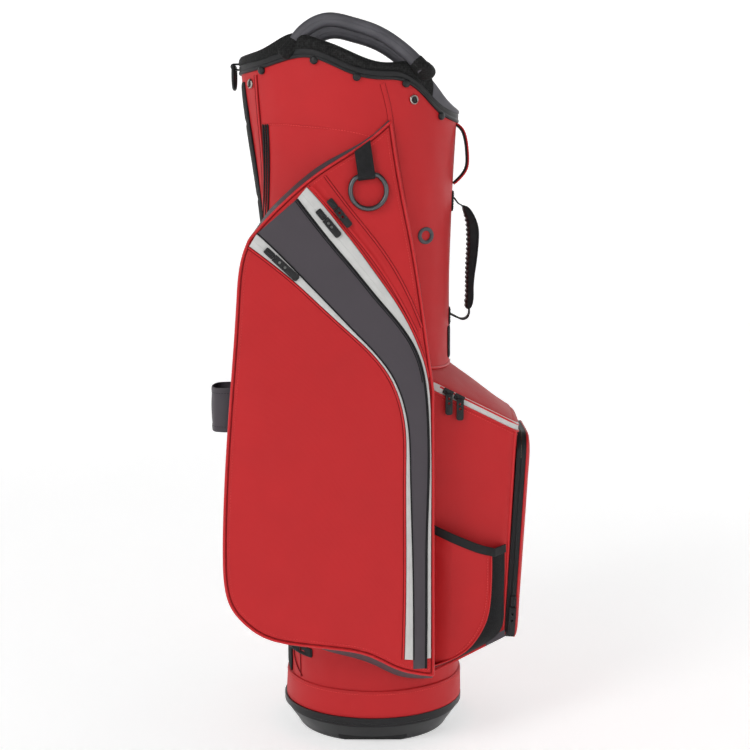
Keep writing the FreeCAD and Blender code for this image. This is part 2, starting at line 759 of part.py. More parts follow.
def lid_arc(x, half_width, crown, lift):
    z = zip_height(x) + ZIP_GAP + 0.3 + lift
    ends = vec(x, -half_width, z), vec(x, 0, z + crown), vec(x, half_width, z)
    return Part.Arc(*ends).toShape()


def lid_block():
    """Crowned slab over the front pocket, highest along its middle."""
    rows = []
    for x, half_width, crown in ((60.0, 105.0, 36.0), (200.0, 82.0, 1.0)):
        low = lid_arc(x, half_width, crown, -LID_THICKNESS)
        high = lid_arc(x, half_width, crown, 0.0)
        ends = [e.Vertexes for e in (low, high)]
        sides = [Part.LineSegment(ends[0][i].Point, ends[1][i].Point).toShape() for i in (0, 1)]
        rows.append(Part.Wire(Part.__sortEdges__([low, sides[1], high, sides[0]])))
    return Part.makeLoft(rows, True, True)


def make_lid(core, pockets, x_low, x_high):
    """The part of the lid between two places along x."""
    slab = lid_block().common(front_block(0.0)).cut(under_line(ZIP_GAP + 0.3)).cut(core)
    for pocket in pockets:
        slab = slab.cut(pocket)
    return slab.common(box((x_low, -200, 300), (x_high, 200, 600)))


def ball_plan(front_x, z, half_width, radius):
    """Plan outline that reaches back into the front pocket and has two rounded front corners."""
    slab = box((front_x - 47.0, -half_width, 0), (front_x, half_width, 1.0))
    corners = [e for e in slab.Edges if is_upright(e) and e.Vertexes[0].Point.x > front_x - 1.0]
    outline = slab.makeFillet(radius, corners)
    wire = min(outline.Faces, key=lambda f: f.CenterOfMass.z).OuterWire
    wire.translate(vec(0, 0, z))
    return wire


def under_rounded_top(half_width, top):
    """Everything under a top edge whose two ends are rounded."""
    block = box((100.0, -half_width, 0.0), (260.0, half_width, top))
    ends = [e for e in block.Edges if e.BoundBox.ZMin > top - 1.0 and e.BoundBox.XLength > 1.0]
    return block.makeFillet(BALL_TOP_RADIUS, ends)


def make_ball_pocket(front_pocket_space):
    """Zipped pocket across the front, leaning with the wall behind it."""
    low = ball_plan(BALL_FRONT_LOW, BALL_BOTTOM, BALL_HALF_LOW, 9.0)
    high = ball_plan(BALL_FRONT_HIGH, BALL_TOP, BALL_HALF_HIGH, 9.0)
    pocket = Part.makeLoft([low, high], True, True).cut(front_pocket_space)
    return pocket.common(under_rounded_top(BALL_HALF_HIGH, BALL_TOP))


def make_ball_zip(front_pocket_space):
    """Black zip gusset up both sides and over the top of the ball pocket."""
    proud = BALL_GUSSET_PROUD
    low = ball_plan(BALL_FRONT_LOW - BALL_PANEL, BALL_BOTTOM + 4.0, BALL_HALF_LOW + proud, 5.0)
    high = ball_plan(BALL_FRONT_HIGH - BALL_PANEL, BALL_TOP + proud, BALL_HALF_HIGH + proud, 5.0)
    gusset = Part.makeLoft([low, high], True, True).cut(front_pocket_space)
    return gusset.common(under_rounded_top(BALL_HALF_HIGH + proud, BALL_TOP + proud))


# Turn of the front pocket's -Y wall away from the x axis, taken at the height of the lid.
WALL_RUN = 187.0 - FRONT_CORNER_RADIUS - FRONT_JOIN[0]
WALL_ANGLE = math.degrees(math.atan2(-FRONT_JOIN[1] - FRONT_CORNER_Y, WALL_RUN))


def on_near_wall(shape):
    """Turns a shape drawn against the plane y = 0 to lie against the front pocket's -Y wall."""
    moved = shape.copy()
    moved.rotate(vec(0, 0, 0), vec(0, 0, 1), WALL_ANGLE)
    moved.translate(vec(FRONT_JOIN[0], FRONT_JOIN[1], 0))
    return moved


def bottle_loft(back, face, depth, start):
    """Ruled solid between an outline on the wall and a smaller one standing off it."""
    wires = []
    for points, y in ((back, start), (face, -depth)):
        corners = [vec(x, y, z) for x, z in points]
        wires.append(Part.makePolygon(corners + corners[:1]))
    return Part.makeLoft(wires, True, True)


BOTTLE_DEPTH = 20.0
BOTTLE_SKIN = 2.5


def make_bottle_parts(trim):
    """Open-topped bottle pocket: a face panel, its mesh gusset and an elastic hem."""
    rim = [(-10.0, 292.0), (48.0, 261.0)]
    raised_rim = [(x, z + 100.0) for x, z in rim]
    back = rim + [(98.0, 260.0), (98.0, 156.0), (88.0, 134.0), (50.0, 116.0), (-10.0, 92.0)]
    face = rim + [(75.0, 260.0), (74.0, 190.0), (62.0, 146.0), (44.0, 124.0), (-10.0, 103.0)]
    inner_back = raised_rim + [(95.0, 360.0), (95.0, 158.0), (86.0, 137.0), (49.0, 120.0), (-10.0, 96.0)]
    inner_face = raised_rim + [(72.0, 360.0), (71.0, 191.0), (60.0, 149.0), (42.0, 128.0), (-10.0, 107.0)]
    outer = bottle_loft(back, face, BOTTLE_DEPTH, 30.0)
    inner = bottle_loft(inner_back, inner_face, BOTTLE_DEPTH - BOTTLE_SKIN, 30.0)
    skin = on_near_wall(outer.cut(inner))
    for piece in trim:
        skin = skin.cut(piece)
    front = on_near_wall(box((-20, -60.0, 0), (140, -BOTTLE_DEPTH + BOTTLE_SKIN, 400)))
    hem_line = polygon_xz([(40, 296), (72, 280), (120, 252), (200, 251), (200, 400), (40, 400)])
    panel = skin.common(front)
    gusset = skin.cut(front)
    hem = panel.common(hem_line)
    biggest = [max(s.Solids, key=lambda p: p.Volume) for s in (panel.cut(hem_line), gusset, hem)]
    return biggest


# ---- Sliders on the front pockets -------------------------------------------------------------


def near_wall_axes():
    """Level direction along the -Y wall of the front pocket, and its outward normal."""
    angle = math.radians(WALL_ANGLE)
    return vec(math.cos(angle), math.sin(angle), 0), vec(math.sin(angle), -math.cos(angle), 0)


def near_wall_point(x, z):
    level, out = near_wall_axes()
    return vec(FRONT_JOIN[0], FRONT_JOIN[1], z) + level * ((x - FRONT_JOIN[0]) / level.x) + out * 0.6


def make_lid_slider(x):
    level, out = near_wall_axes()
    along = (level / level.x + vec(0, 0, ZIP_LINE_SLOPE)).normalize()
    return oriented(slider_shape(), near_wall_point(x, zip_height(x) + ZIP_GAP / 2.0), along, out)


def make_lid_pull(x):
    """Pull that hangs straight down from its slider."""
    out = near_wall_axes()[1]
    start = near_wall_point(x, zip_height(x) + ZIP_GAP / 2.0) + out * (SLIDER_SIZE[2] + 0.3)
    return oriented(pull_shape(SHORT_PULL), start + vec(0, 0, SLIDER_SIZE[0] / 2.0), vec(0, 0, -1), out)


BALL_ZIP_LOW = (181.0, 178.0)
BALL_ZIP_HIGH = (191.0, 372.0)
BALL_ZIP_Y = -69.2
BALL_ZIP_SPREAD = 3.2


def ball_zip_axes():
    run = [a - b for a, b in zip(BALL_ZIP_LOW, BALL_ZIP_HIGH)]
    along = vec(run[0], BALL_ZIP_SPREAD, run[1]).normalize()
    out = vec(0, -1, 0)
    out = (out - along * out.dot(along)).normalize()
    return along, out


def make_ball_slider():
    along, out = ball_zip_axes()
    return oriented(slider_shape(), vec(BALL_ZIP_LOW[0], BALL_ZIP_Y, BALL_ZIP_LOW[1]), along, out)


def make_ball_pull():
    along, out = ball_zip_axes()
    return oriented(pull_shape(LONG_PULL), vec(BALL_ZIP_LOW[0], BALL_ZIP_Y, BALL_ZIP_LOW[1]), along, out)


# ---- Carry pieces on the front ------------------------------------------------------------------

GRAB_PIVOT_X = 112.0


def make_lift_loop():
    """Fabric loop under the front of the rim."""
    points = [(104.5, 789.0), (116.0, 780.0), (121.0, 745.0), (119.0, 724.0), (102.0, 712.0)]
    return band_along_xz(points, 7.0, 26.0, 3.0).cut(body_solid(2.2))


def make_grab_grip():
    """Padded grip of the front grab handle, thicker at its top."""
    outer = [(113.5, 684.0), (126.0, 677.0), (136.0, 655.0), (134.0, 620.0), (128.0, 551.0), (125.0, 548.0)]
    inner = [(113.5, 684.0), (119.0, 670.0), (119.5, 640.0), (118.5, 590.0), (118.5, 552.0), (125.0, 548.0)]
    pad = ribbon_from_curves(outer, inner, 14.0)
    return pad


def ribbon_from_curves(outer, inner, half_width):
    """Pad between two curves that share their end points, as wide along y as given."""
    a = [(x, -half_width, z) for x, z in outer]
    b = [(x, -half_width, z) for x, z in inner]
    wire = Part.Wire(Part.__sortEdges__([spline(a), spline(b)]))
    return Part.Face(wire).extrude(vec(0, 2.0 * half_width, 0))


def tongue(x_low, x_high, half_low, half_high, z, thickness):
    """Flat tongue of webbing that changes width along x."""
    corners = [vec(x_low, -half_low, z), vec(x_high, -half_high, z)]
    corners += [vec(x_high, half_high, z), vec(x_low, half_low, z)]
    return Part.Face(Part.makePolygon(corners + corners[:1])).extrude(vec(0, 0, thickness))


def make_grab_webbing(grip):
    """Webbing ends between the grip and its swing line."""
    upper = tongue(GRAB_PIVOT_X + 1.0, 122.0, 4.0, 12.0, 682.0, 2.4)
    lower = tongue(GRAB_PIVOT_X + 1.0, 124.0, 4.0, 12.0, 544.5, 2.4)
    lower_neck = box((120.0, -12.0, 546.9), (124.0, 12.0, 552.0))
    ends = [upper.cut(grip), lower.fuse(lower_neck).cut(grip)]
    return Part.makeCompound([max(e.Solids, key=lambda s: s.Volume) for e in ends])


def make_grab_anchors(core):
    """Sewn anchor patches on the body with the short webbing stubs that the handle swings on."""
    anchors = []
    for z_low, z_high, stub_z in ((676.0, 702.0, 682.0), (530.0, 552.0, 544.5)):
        patch = body_tube(1.8, 0.0).common(box((60.0, -15.0, z_low), (160.0, 15.0, z_high)))
        stub = tongue(90.0, GRAB_PIVOT_X - 2.5, 10.0, 4.0, stub_z, 2.4).cut(core)
        anchors.append(patch.fuse(stub).removeSplitter())
    return Part.makeCompound([s for a in anchors for s in a.Solids])


# ---- Assembly ---------------------------------------------------------------------------------


def main():
    os.makedirs("parts", exist_ok=True)
    core = body_solid(0.0)
    body_shell = make_body_shell()
    binding = make_rim_binding()
    handles = both_sides(make_lift_handle().cut(binding))
    collar = make_collar(handles)
    front_grip = make_front_grip()

    save("base_boot", make_base_boot())
    save("floor_liner", make_floor_liner())
    save("body_shell", body_shell)
    save("base_cuff", make_base_cuff())
    save("spine_panel", make_spine_panel())
    save("rim_binding", binding)
    save("mesh_collar", collar)
    save("front_grip", front_grip)
    save("lift_handles", handles)
    save("top_divider", make_top_divider())
    save("divider_sleeves", make_divider_sleeves())
    save("stay_rods", make_stays())
    save("rim_rivets", make_rim_rivets([binding, body_shell]))
    save("hood_studs", make_hood_studs([binding, body_shell]))

    pocket = make_side_pocket(core)
    far_pocket = mirrored(pocket)
    zips = make_face_zips()
    band = make_face_band()
    save("side_pocket_near", pocket)
    save("side_pocket_far", far_pocket)
    save("pocket_zips_near", zips)
    save("pocket_zips_far", mirrored(zips))
    save("pocket_band_near", band)
    save("pocket_band_far", mirrored(band))
    for name in ZIP_STARTS:
        slider = make_face_slider(name)
        pull = make_face_pull(name)
        save(name + "_slider_near", slider)
        save(name + "_slider_far", mirrored(slider))
        save(name + "_pull_near", pull)
        save(name + "_pull_far", mirrored(pull))
    save("upper_side_zips", make_upper_side_zips())
    save("towel_ring", make_towel_ring())
    save("towel_ring_tab", make_towel_tab([pocket, body_shell]))
    save("strap_ring", make_strap_ring())
    save("strap_ring_tab", make_strap_tab([binding, collar, body_shell]))
    save("ring_patch", make_ring_patch())
    save("glove_patch", make_glove_patch())
    save("lower_tabs", make_lower_tab())
    save("umbrella_sleeve", make_umbrella_sleeve(pocket))

    pockets = [pocket, far_pocket]
    block = front_block(0.0)
    save("front_pocket", make_front_pocket(core, pockets))
    save("lid_zip", make_lid_zip(core))
    save("lid_hinge_strip", make_lid(core, pockets, 60.0, LID_HINGE_X))
    save("front_lid", make_lid(core, pockets, LID_HINGE_X + 0.6, 260.0))
    ball_zip = make_ball_zip(block)
    save("ball_zip", ball_zip)
    save("ball_pocket", make_ball_pocket(block).cut(ball_zip))
    panel, gusset, hem = make_bottle_parts([block, *pockets])
    save("bottle_pocket", panel)
    save("bottle_mesh", gusset)
    save("bottle_hem", hem)
    save("lid_slider_parked", make_lid_slider(LID_SLIDERS[0]))
    save("lid_pull_parked", make_lid_pull(LID_SLIDERS[0]))
    save("lid_slider_running", make_lid_slider(LID_SLIDERS[1]))
    save("lid_pull_running", make_lid_pull(LID_SLIDERS[1]))
    save("ball_slider", make_ball_slider())
    save("ball_pull", make_ball_pull())

    grip = make_grab_grip()
    save("lift_loop", make_lift_loop())
    save("grab_grip", grip)
    save("grab_webbing", make_grab_webbing(grip))
    save("grab_anchors", make_grab_anchors(core))


main()
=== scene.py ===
import math

import bmesh
import bpy
import numpy as np
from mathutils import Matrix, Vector


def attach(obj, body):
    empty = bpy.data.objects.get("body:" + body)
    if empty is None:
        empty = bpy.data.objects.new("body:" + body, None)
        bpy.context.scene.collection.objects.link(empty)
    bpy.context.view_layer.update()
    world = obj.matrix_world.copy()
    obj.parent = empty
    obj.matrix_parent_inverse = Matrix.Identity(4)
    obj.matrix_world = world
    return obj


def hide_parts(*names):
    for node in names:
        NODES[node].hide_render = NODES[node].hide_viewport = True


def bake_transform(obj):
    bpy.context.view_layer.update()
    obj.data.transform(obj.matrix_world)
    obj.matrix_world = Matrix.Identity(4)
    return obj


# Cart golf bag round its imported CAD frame. Shapes are drawn in millimetres, in the frame's own
# axes, and become metres when a piece is made: +X is the front, -Y the near side, +Z up.

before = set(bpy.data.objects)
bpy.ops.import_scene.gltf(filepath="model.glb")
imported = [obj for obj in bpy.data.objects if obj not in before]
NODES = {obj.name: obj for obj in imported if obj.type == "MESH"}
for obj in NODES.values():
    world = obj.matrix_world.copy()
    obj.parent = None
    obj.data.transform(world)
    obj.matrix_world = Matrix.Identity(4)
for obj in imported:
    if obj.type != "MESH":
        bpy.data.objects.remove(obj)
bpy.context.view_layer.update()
MM = 0.001

# ---- Driving dimensions, as in the CAD frame ------------------------------------------------

# Body stations: height, spine side x, front side x, half width along y.
STATIONS = [
    (0, -116, 116, 115), (90, -111, 114, 112), (200, -114, 108, 109), (340, -120, 102, 107),
    (480, -129, 99, 107), (600, -137, 99.5, 108.5), (700, -147.5, 102.5, 111.5),
    (790, -160.5, 107, 116.5), (870, -168.5, 111, 120.5), (930, -172, 114, 122),
]
BASE_HEIGHT = 38
CUFF_TOP = 73
RIM_CURVE = [(-200, 846), (-135, 852), (-77, 863), (-27, 844), (10, 837), (33, 836), (58, 822),
             (84, 797), (110, 787), (150, 784)]
COLLAR_TOP = [(-200, 864), (-162, 871), (-136, 877), (-97, 893), (-73, 888), (-39, 876),
              (21, 858), (60, 858), (80, 835), (110, 812), (150, 806)]
GRIP_TOP = [(-200, 905), (-77, 900), (20, 880), (60, 852), (75, 838), (92, 817), (104, 807), (150, 803)]
BINDING_HEIGHT = 11
COLLAR_END = 73
HANDLE_PLANE = 99
HANDLE_LINE = [(-101, 872), (-88, 890), (-74, 902), (-54, 909), (-27, 904.5), (3, 895), (30, 879), (50, 862),
               (61, 850)]
CROSS_WALLS = (-112, -62, -12, 38)
SIDE_WALL = 36
SLEEVE_TAPER = 0.78

# The side pocket's face plane, y = FACE[0] + FACE[1] * x + FACE[2] * z, and its outline (x, z).
FACE = (-186.7, 0.108, 0.0883)
POCKET_BACK = -45
TIP, LEFT_TOP, RIGHT_TOP, RIGHT_BOTTOM = (22, 787), (-148, 646), (74, 463), (75, 112)
DIAGONAL_EDGE = [TIP, (-1, 767), (-61, 728), (-99, 697.5), (-138, 658), LEFT_TOP]
LEFT_EDGE = [LEFT_TOP, (-153.5, 632), (-162, 572), (-170.5, 455), (-178, 334), (-179.5, 262), (-177, 225),
             (-170, 203), (-157, 186), (-134, 168), (-88, 155), (-40, 148), (-3, 139), (31, 122),
             RIGHT_BOTTOM]
BODY_SEAM = [RIGHT_TOP, (64, 536), (48, 640), (33, 715), TIP]
LOWER_ZIP_LEFT = [(-148, 638.5), (-91, 593), (-60, 564), (-28.5, 535), (2, 505.5), (23, 476), (34.5, 446.5),
                  (40, 417), (41, 373), (41, 236), (39, 134)]
LOWER_ZIP_RIGHT = [(-139, 653.5), (-125.5, 641), (-78, 593), (-50, 564), (-22.5, 535), (5.5, 505.5),
                   (26, 476),
                   (37.5, 446.5), (43.3, 417), (45.5, 373), (49, 236), (49.7, 133)]
BAND_RIGHT = [(-91, 694.5), (-45, 636), (-20.5, 607), (3, 578), (28, 548.5), (48.5, 519), (60, 490),
              (65, 461),
              (68, 417), (68.5, 358), (66.5, 294.5), (66, 206), (65.5, 122)]
MIDDLE_ZIP_RIGHT = [(-79, 709), (-64, 692.5), (-41.5, 664.5), (-19, 636), (2, 607), (22.5, 578),
                    (40.5, 548.5),
                    (54.5, 519), (64.5, 490), (69.5, 461), (71.5, 417), (72.3, 358), (72, 294.5),
                    (72, 206), (72, 134)]
UPPER_FLAP_LEFT = [(-74, 710), (-39, 672), (9, 612), (38, 565), (54, 534)]
UPPER_FLAP_RIGHT = [(-58, 722), (-27, 681), (15, 627), (45.5, 573), (60, 539)]
ZIP_STARTS = {"lower": (-124, 630), "middle": (-62, 676), "upper": (-48.5, 688.5)}
ZIP_ENDS = {"lower": (-52, 563), "middle": (-33, 641), "upper": (-23, 656)}

# Front pocket: plan from the join to two rounded corners, with a front wall that leans out.
FRONT_JOIN = (72, 98)
FRONT_CORNER_Y = 80
FRONT_CORNER_RADIUS = 16
FRONT_LOW, FRONT_HIGH = (85, 168), (500, 189)
WALL = 4
ZIP_LINE = (85, 454.5, -0.515)
ZIP_GAP = 8
BALL_LOW, BALL_HIGH = (128, 186.5, 66), (394, 201, 70)
SLIDER_LENGTH, SLIDER_WIDTH, SLIDER_HEIGHT = 13, 9, 4
LONG_PULL, SHORT_PULL, PULL_WIDTH, PULL_THICKNESS, PULL_LIFT = 39, 27, 9, 2.4, 0.5
BALL_ZIP_Y = -69.2
BALL_TOP_RADIUS = 28
BALL_ZIP_LOW, BALL_ZIP_HIGH = (181, 178), (191, 372)
LID_SLIDERS = {"lid_slider_parked": 94, "lid_slider_running": 108}
PULL_START = SLIDER_LENGTH / 2 + 0.8
GRAB_PIVOT_X = 112


# ---- Curves and shapes -----------------------------------------------------------------------
# A shape is (points, faces). A path is an array of points, and a profile lists (across, out).


def unit(v):
    v = np.asarray(v, float)
    return v / np.maximum(np.linalg.norm(v, axis=-1, keepdims=True), 1e-12)


def smoothstep(low, high, value):
    t = np.clip((value - low) / (high - low), 0, 1)
    return t * t * (3 - 2 * t)


def spline(points, count):
    """Natural cubic curve through the points, by chord length."""
    p = np.array(points, float)
    t = np.concatenate([[0], np.cumsum(np.linalg.norm(np.diff(p, axis=0), axis=1))])
    n, h = len(t), np.diff(t)
    a, b = np.eye(n), np.zeros_like(p)
    for i in range(1, n - 1):
        a[i, i - 1:i + 2] = h[i - 1], 2 * (h[i - 1] + h[i]), h[i]
        b[i] = 6 * ((p[i + 1] - p[i]) / h[i] - (p[i] - p[i - 1]) / h[i - 1])
    m = np.linalg.solve(a, b)
    at = np.linspace(0, t[-1], count)
    k = np.clip(np.searchsorted(t, at) - 1, 0, n - 2)
    step, u = h[k][:, None], (at - t[k])[:, None]
    v = step - u
    bend = (m[k] * v ** 3 + m[k + 1] * u ** 3) / (6 * step)
    return bend + (p[k] / step - m[k] * step / 6) * v + (p[k + 1] / step - m[k + 1] * step / 6) * u


def resample(path, step, closed=False):
    """The path again with even spacing."""
    p = np.vstack([path, path[:1]]) if closed else np.asarray(path, float)
    t = np.concatenate([[0], np.cumsum(np.linalg.norm(np.diff(p, axis=0), axis=1))])
    count = max(int(round(t[-1] / step)), 2)
    at = np.linspace(0, t[-1], count + 1)
    if closed:
        at = at[:-1]
    return np.stack([np.interp(at, t, p[:, k]) for k in range(p.shape[1])], 1)


def grid(points, wrap_rows=False, wrap_columns=False):
    """Quads over points[row, column]."""
    rows, columns = points.shape[:2]
    faces = []
    for i in range(rows if wrap_rows else rows - 1):
        for j in range(columns if wrap_columns else columns - 1):
            i2, j2 = (i + 1) % rows, (j + 1) % columns
            faces.append((i * columns + j, i * columns + j2, i2 * columns + j2, i2 * columns + j))
    return points.reshape(-1, 3), faces


def join(shapes):
    points, faces, start = [], [], 0
    for p, f in shapes:
        points.append(p)
        faces.extend(tuple(i + start for i in face) for face in f)
        start += len(p)
    return np.vstack(points), faces


def mirrored(shape):
    return shape[0] * (1, -1, 1), [tuple(reversed(f)) for f in shape[1]]


def sheet_solid(outer, inner):
    """Closed solid between two grids of the same size."""
    rows, columns = outer.shape[:2]
    points, faces = grid(outer)
    start = rows * columns
    faces = faces + [tuple(reversed([i + start for i in f])) for f in faces]
    rim = [j for j in range(columns)]
    rim += [i * columns + columns - 1 for i in range(1, rows)]
    rim += [(rows - 1) * columns + j for j in range(columns - 2, -1, -1)]
    rim += [i * columns for i in range(rows - 2, 0, -1)]
    for a, b in zip(rim, rim[1:] + rim[:1]):
        faces.append((b, a, a + start, b + start))
    return np.vstack([points, inner.reshape(-1, 3)]), faces


def circle(radius, steps=10):
    return [(radius * math.cos(a), radius * math.sin(a)) for a in np.arange(steps) * 2 * math.pi / steps]


def rounded_box(width, height, radius, steps=4, low=None):
    """Outline of a rectangle with rounded corners, centred on its middle; low is for the bottom two."""
    points = []
    for corner, (sx, sy) in enumerate(((1, 1), (-1, 1), (-1, -1), (1, -1))):
        r = low if low and sy < 0 else radius
        for k in range(steps + 1):
            a = math.pi / 2 * (corner + k / steps)
            points.append((sx * (width / 2 - r) + r * math.cos(a), sy * (height / 2 - r) + r * math.sin(a)))
    return points


def sweep(path, profile, out, closed=False, scale=None):
    """The profile carried along a path, with its second axis leaning towards out."""
    path = np.asarray(path, float)
    if closed:
        along = np.roll(path, -1, 0) - np.roll(path, 1, 0)
    else:
        along = np.gradient(path, axis=0)
    along = unit(along)
    side = unit(np.cross(np.broadcast_to(out, path.shape), along))
    up = np.cross(along, side)
    profile = np.array(profile, float)
    size = np.ones(len(path)) if scale is None else np.asarray(scale, float)
    points = path[:, None] + size[:, None, None] * (
        profile[None, :, :1] * side[:, None] + profile[None, :, 1:] * up[:, None])
    points, faces = grid(points, wrap_rows=closed, wrap_columns=True)
    if not closed:
        count = len(profile)
        faces.append(tuple(range(count)))
        faces.append(tuple(reversed([len(points) - count + i for i in range(count)])))
    return points, faces


def tube(path, radius, out, closed=False, steps=10, scale=None):
    return sweep(path, circle(radius, steps), out, closed, scale)


def round_ends(count, reach, least=0.25):
    """Sizes that close in at both ends of a path, over reach points."""
    k = np.arange(count)
    edge = np.minimum(k, count - 1 - k) / reach
    return np.maximum(np.sqrt(np.clip(1 - (1 - np.clip(edge, 0, 1)) ** 2, 0, 1)), least)


def lathe(profile, origin, axis, steps=24):
    """Turned shape: profile lists (radius, height) from its lower to its upper end."""
    axis = unit(axis)
    side = unit(np.cross(axis, (0.3, 0.9, 0.31)))
    up = np.cross(axis, side)
    angle = np.arange(steps) * 2 * math.pi / steps
    ring = np.cos(angle)[:, None] * side + np.sin(angle)[:, None] * up
    rows = [np.asarray(origin, float) + r * ring + h * axis for r, h in profile]
    return grid(np.array(rows), wrap_columns=True)


def pad(outline, place, steps, centre=None):
    """Pad over a closed outline: steps list (inset, height), and place puts (u, v, height)."""
    outline = np.array(outline, float)
    middle = outline.mean(0) if centre is None else np.array([centre(p) for p in outline])
    reach = np.linalg.norm(middle - outline, axis=1, keepdims=True)
    rings = []
    for inset, height in steps:
        ring = outline + (middle - outline) * np.minimum(inset / reach, 0.97)
        rings.append([place(u, v, height) for u, v in ring])
    points, faces = grid(np.array(rings), wrap_columns=True)
    count = len(outline)
    faces.append(tuple(range(count)))
    faces.append(tuple(reversed([len(points) - count + i for i in range(count)])))
    return points, faces


def stitches(path, out, pitch=3.6, length=2.5, radius=0.34):
    """Row of short threads lying on a seam."""
    both = resample(np.hstack([path, np.broadcast_to(np.asarray(out, float), path.shape)]), pitch)
    path, out = both[:, :3], unit(both[:, 3:])
    along = unit(np.gradient(path, axis=0))
    side = unit(np.cross(out, along))
    up = np.cross(along, side)
    shares = ((-0.5, 0.35), (-0.3, 1.0), (0.3, 1.0), (0.5, 0.35))
    shapes = []
    for p, a, s, u in zip(path, along, side, up):
        rings = [[p + a * (length * t) + r * radius * (x * s + y * u) for x, y in circle(1, 5)]
                 for t, r in shares]
        points, faces = grid(np.array(rings), wrap_columns=True)
        faces.append((0, 1, 2, 3, 4))
        faces.append((19, 18, 17, 16, 15))
        shapes.append((points, faces))
    return join(shapes)


# ---- Making pieces ---------------------------------------------------------------------------


def piece(name, body, parts, replaces=(), sharp=42):
    """One object from [(shape, material)], riding on a body."""
    points, faces, which, looks = [], [], [], []
    start = 0
    for (p, f), look in parts:
        if look not in looks:
            looks.append(look)
        points.append(p)
        faces.extend(tuple(i + start for i in face) for face in f)
        which.extend([looks.index(look)] * len(f))
        start += len(p)
    mesh = bpy.data.meshes.new(name)
    mesh.from_pydata((np.vstack(points) * MM).tolist(), [], faces)
    for look in looks:
        mesh.materials.append(look)
    mesh.polygons.foreach_set("material_index", which)
    work = bmesh.new()
    work.from_mesh(mesh)
    bmesh.ops.remove_doubles(work, verts=work.verts, dist=2e-6)
    bmesh.ops.recalc_face_normals(work, faces=work.faces)
    work.to_mesh(mesh)
    work.free()
    mesh.shade_smooth()
    mesh.set_sharp_from_angle(angle=math.radians(sharp))
    made = bpy.data.objects.new(name, mesh)
    bpy.context.scene.collection.objects.link(made)
    if body:
        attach(made, body)
    if replaces:
        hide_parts(*replaces)
    return made


def on_both_sides(name, parts, replaces):
    """The near piece and its mirror image on the far side, both on the bag."""
    for side, turn in (("near", lambda s: s), ("far", mirrored)):
        nodes = [n.format(side) for n in replaces]
        piece(name.format(side), "bag", [(turn(s), m) for s, m in parts], nodes)


def soften(node, width, look, segments=2):
    """Gives a CAD node rounded edges and its material."""
    made = NODES[node]
    made.data.materials.clear()
    made.data.materials.append(look)
    bevel = made.modifiers.new("edges", "BEVEL")
    bevel.width = width * MM
    bevel.segments = segments
    bevel.limit_method = "ANGLE"
    bevel.angle_limit = math.radians(35)
    bevel.harden_normals = True
    return made


# ---- Materials ---------------------------------------------------------------------------------


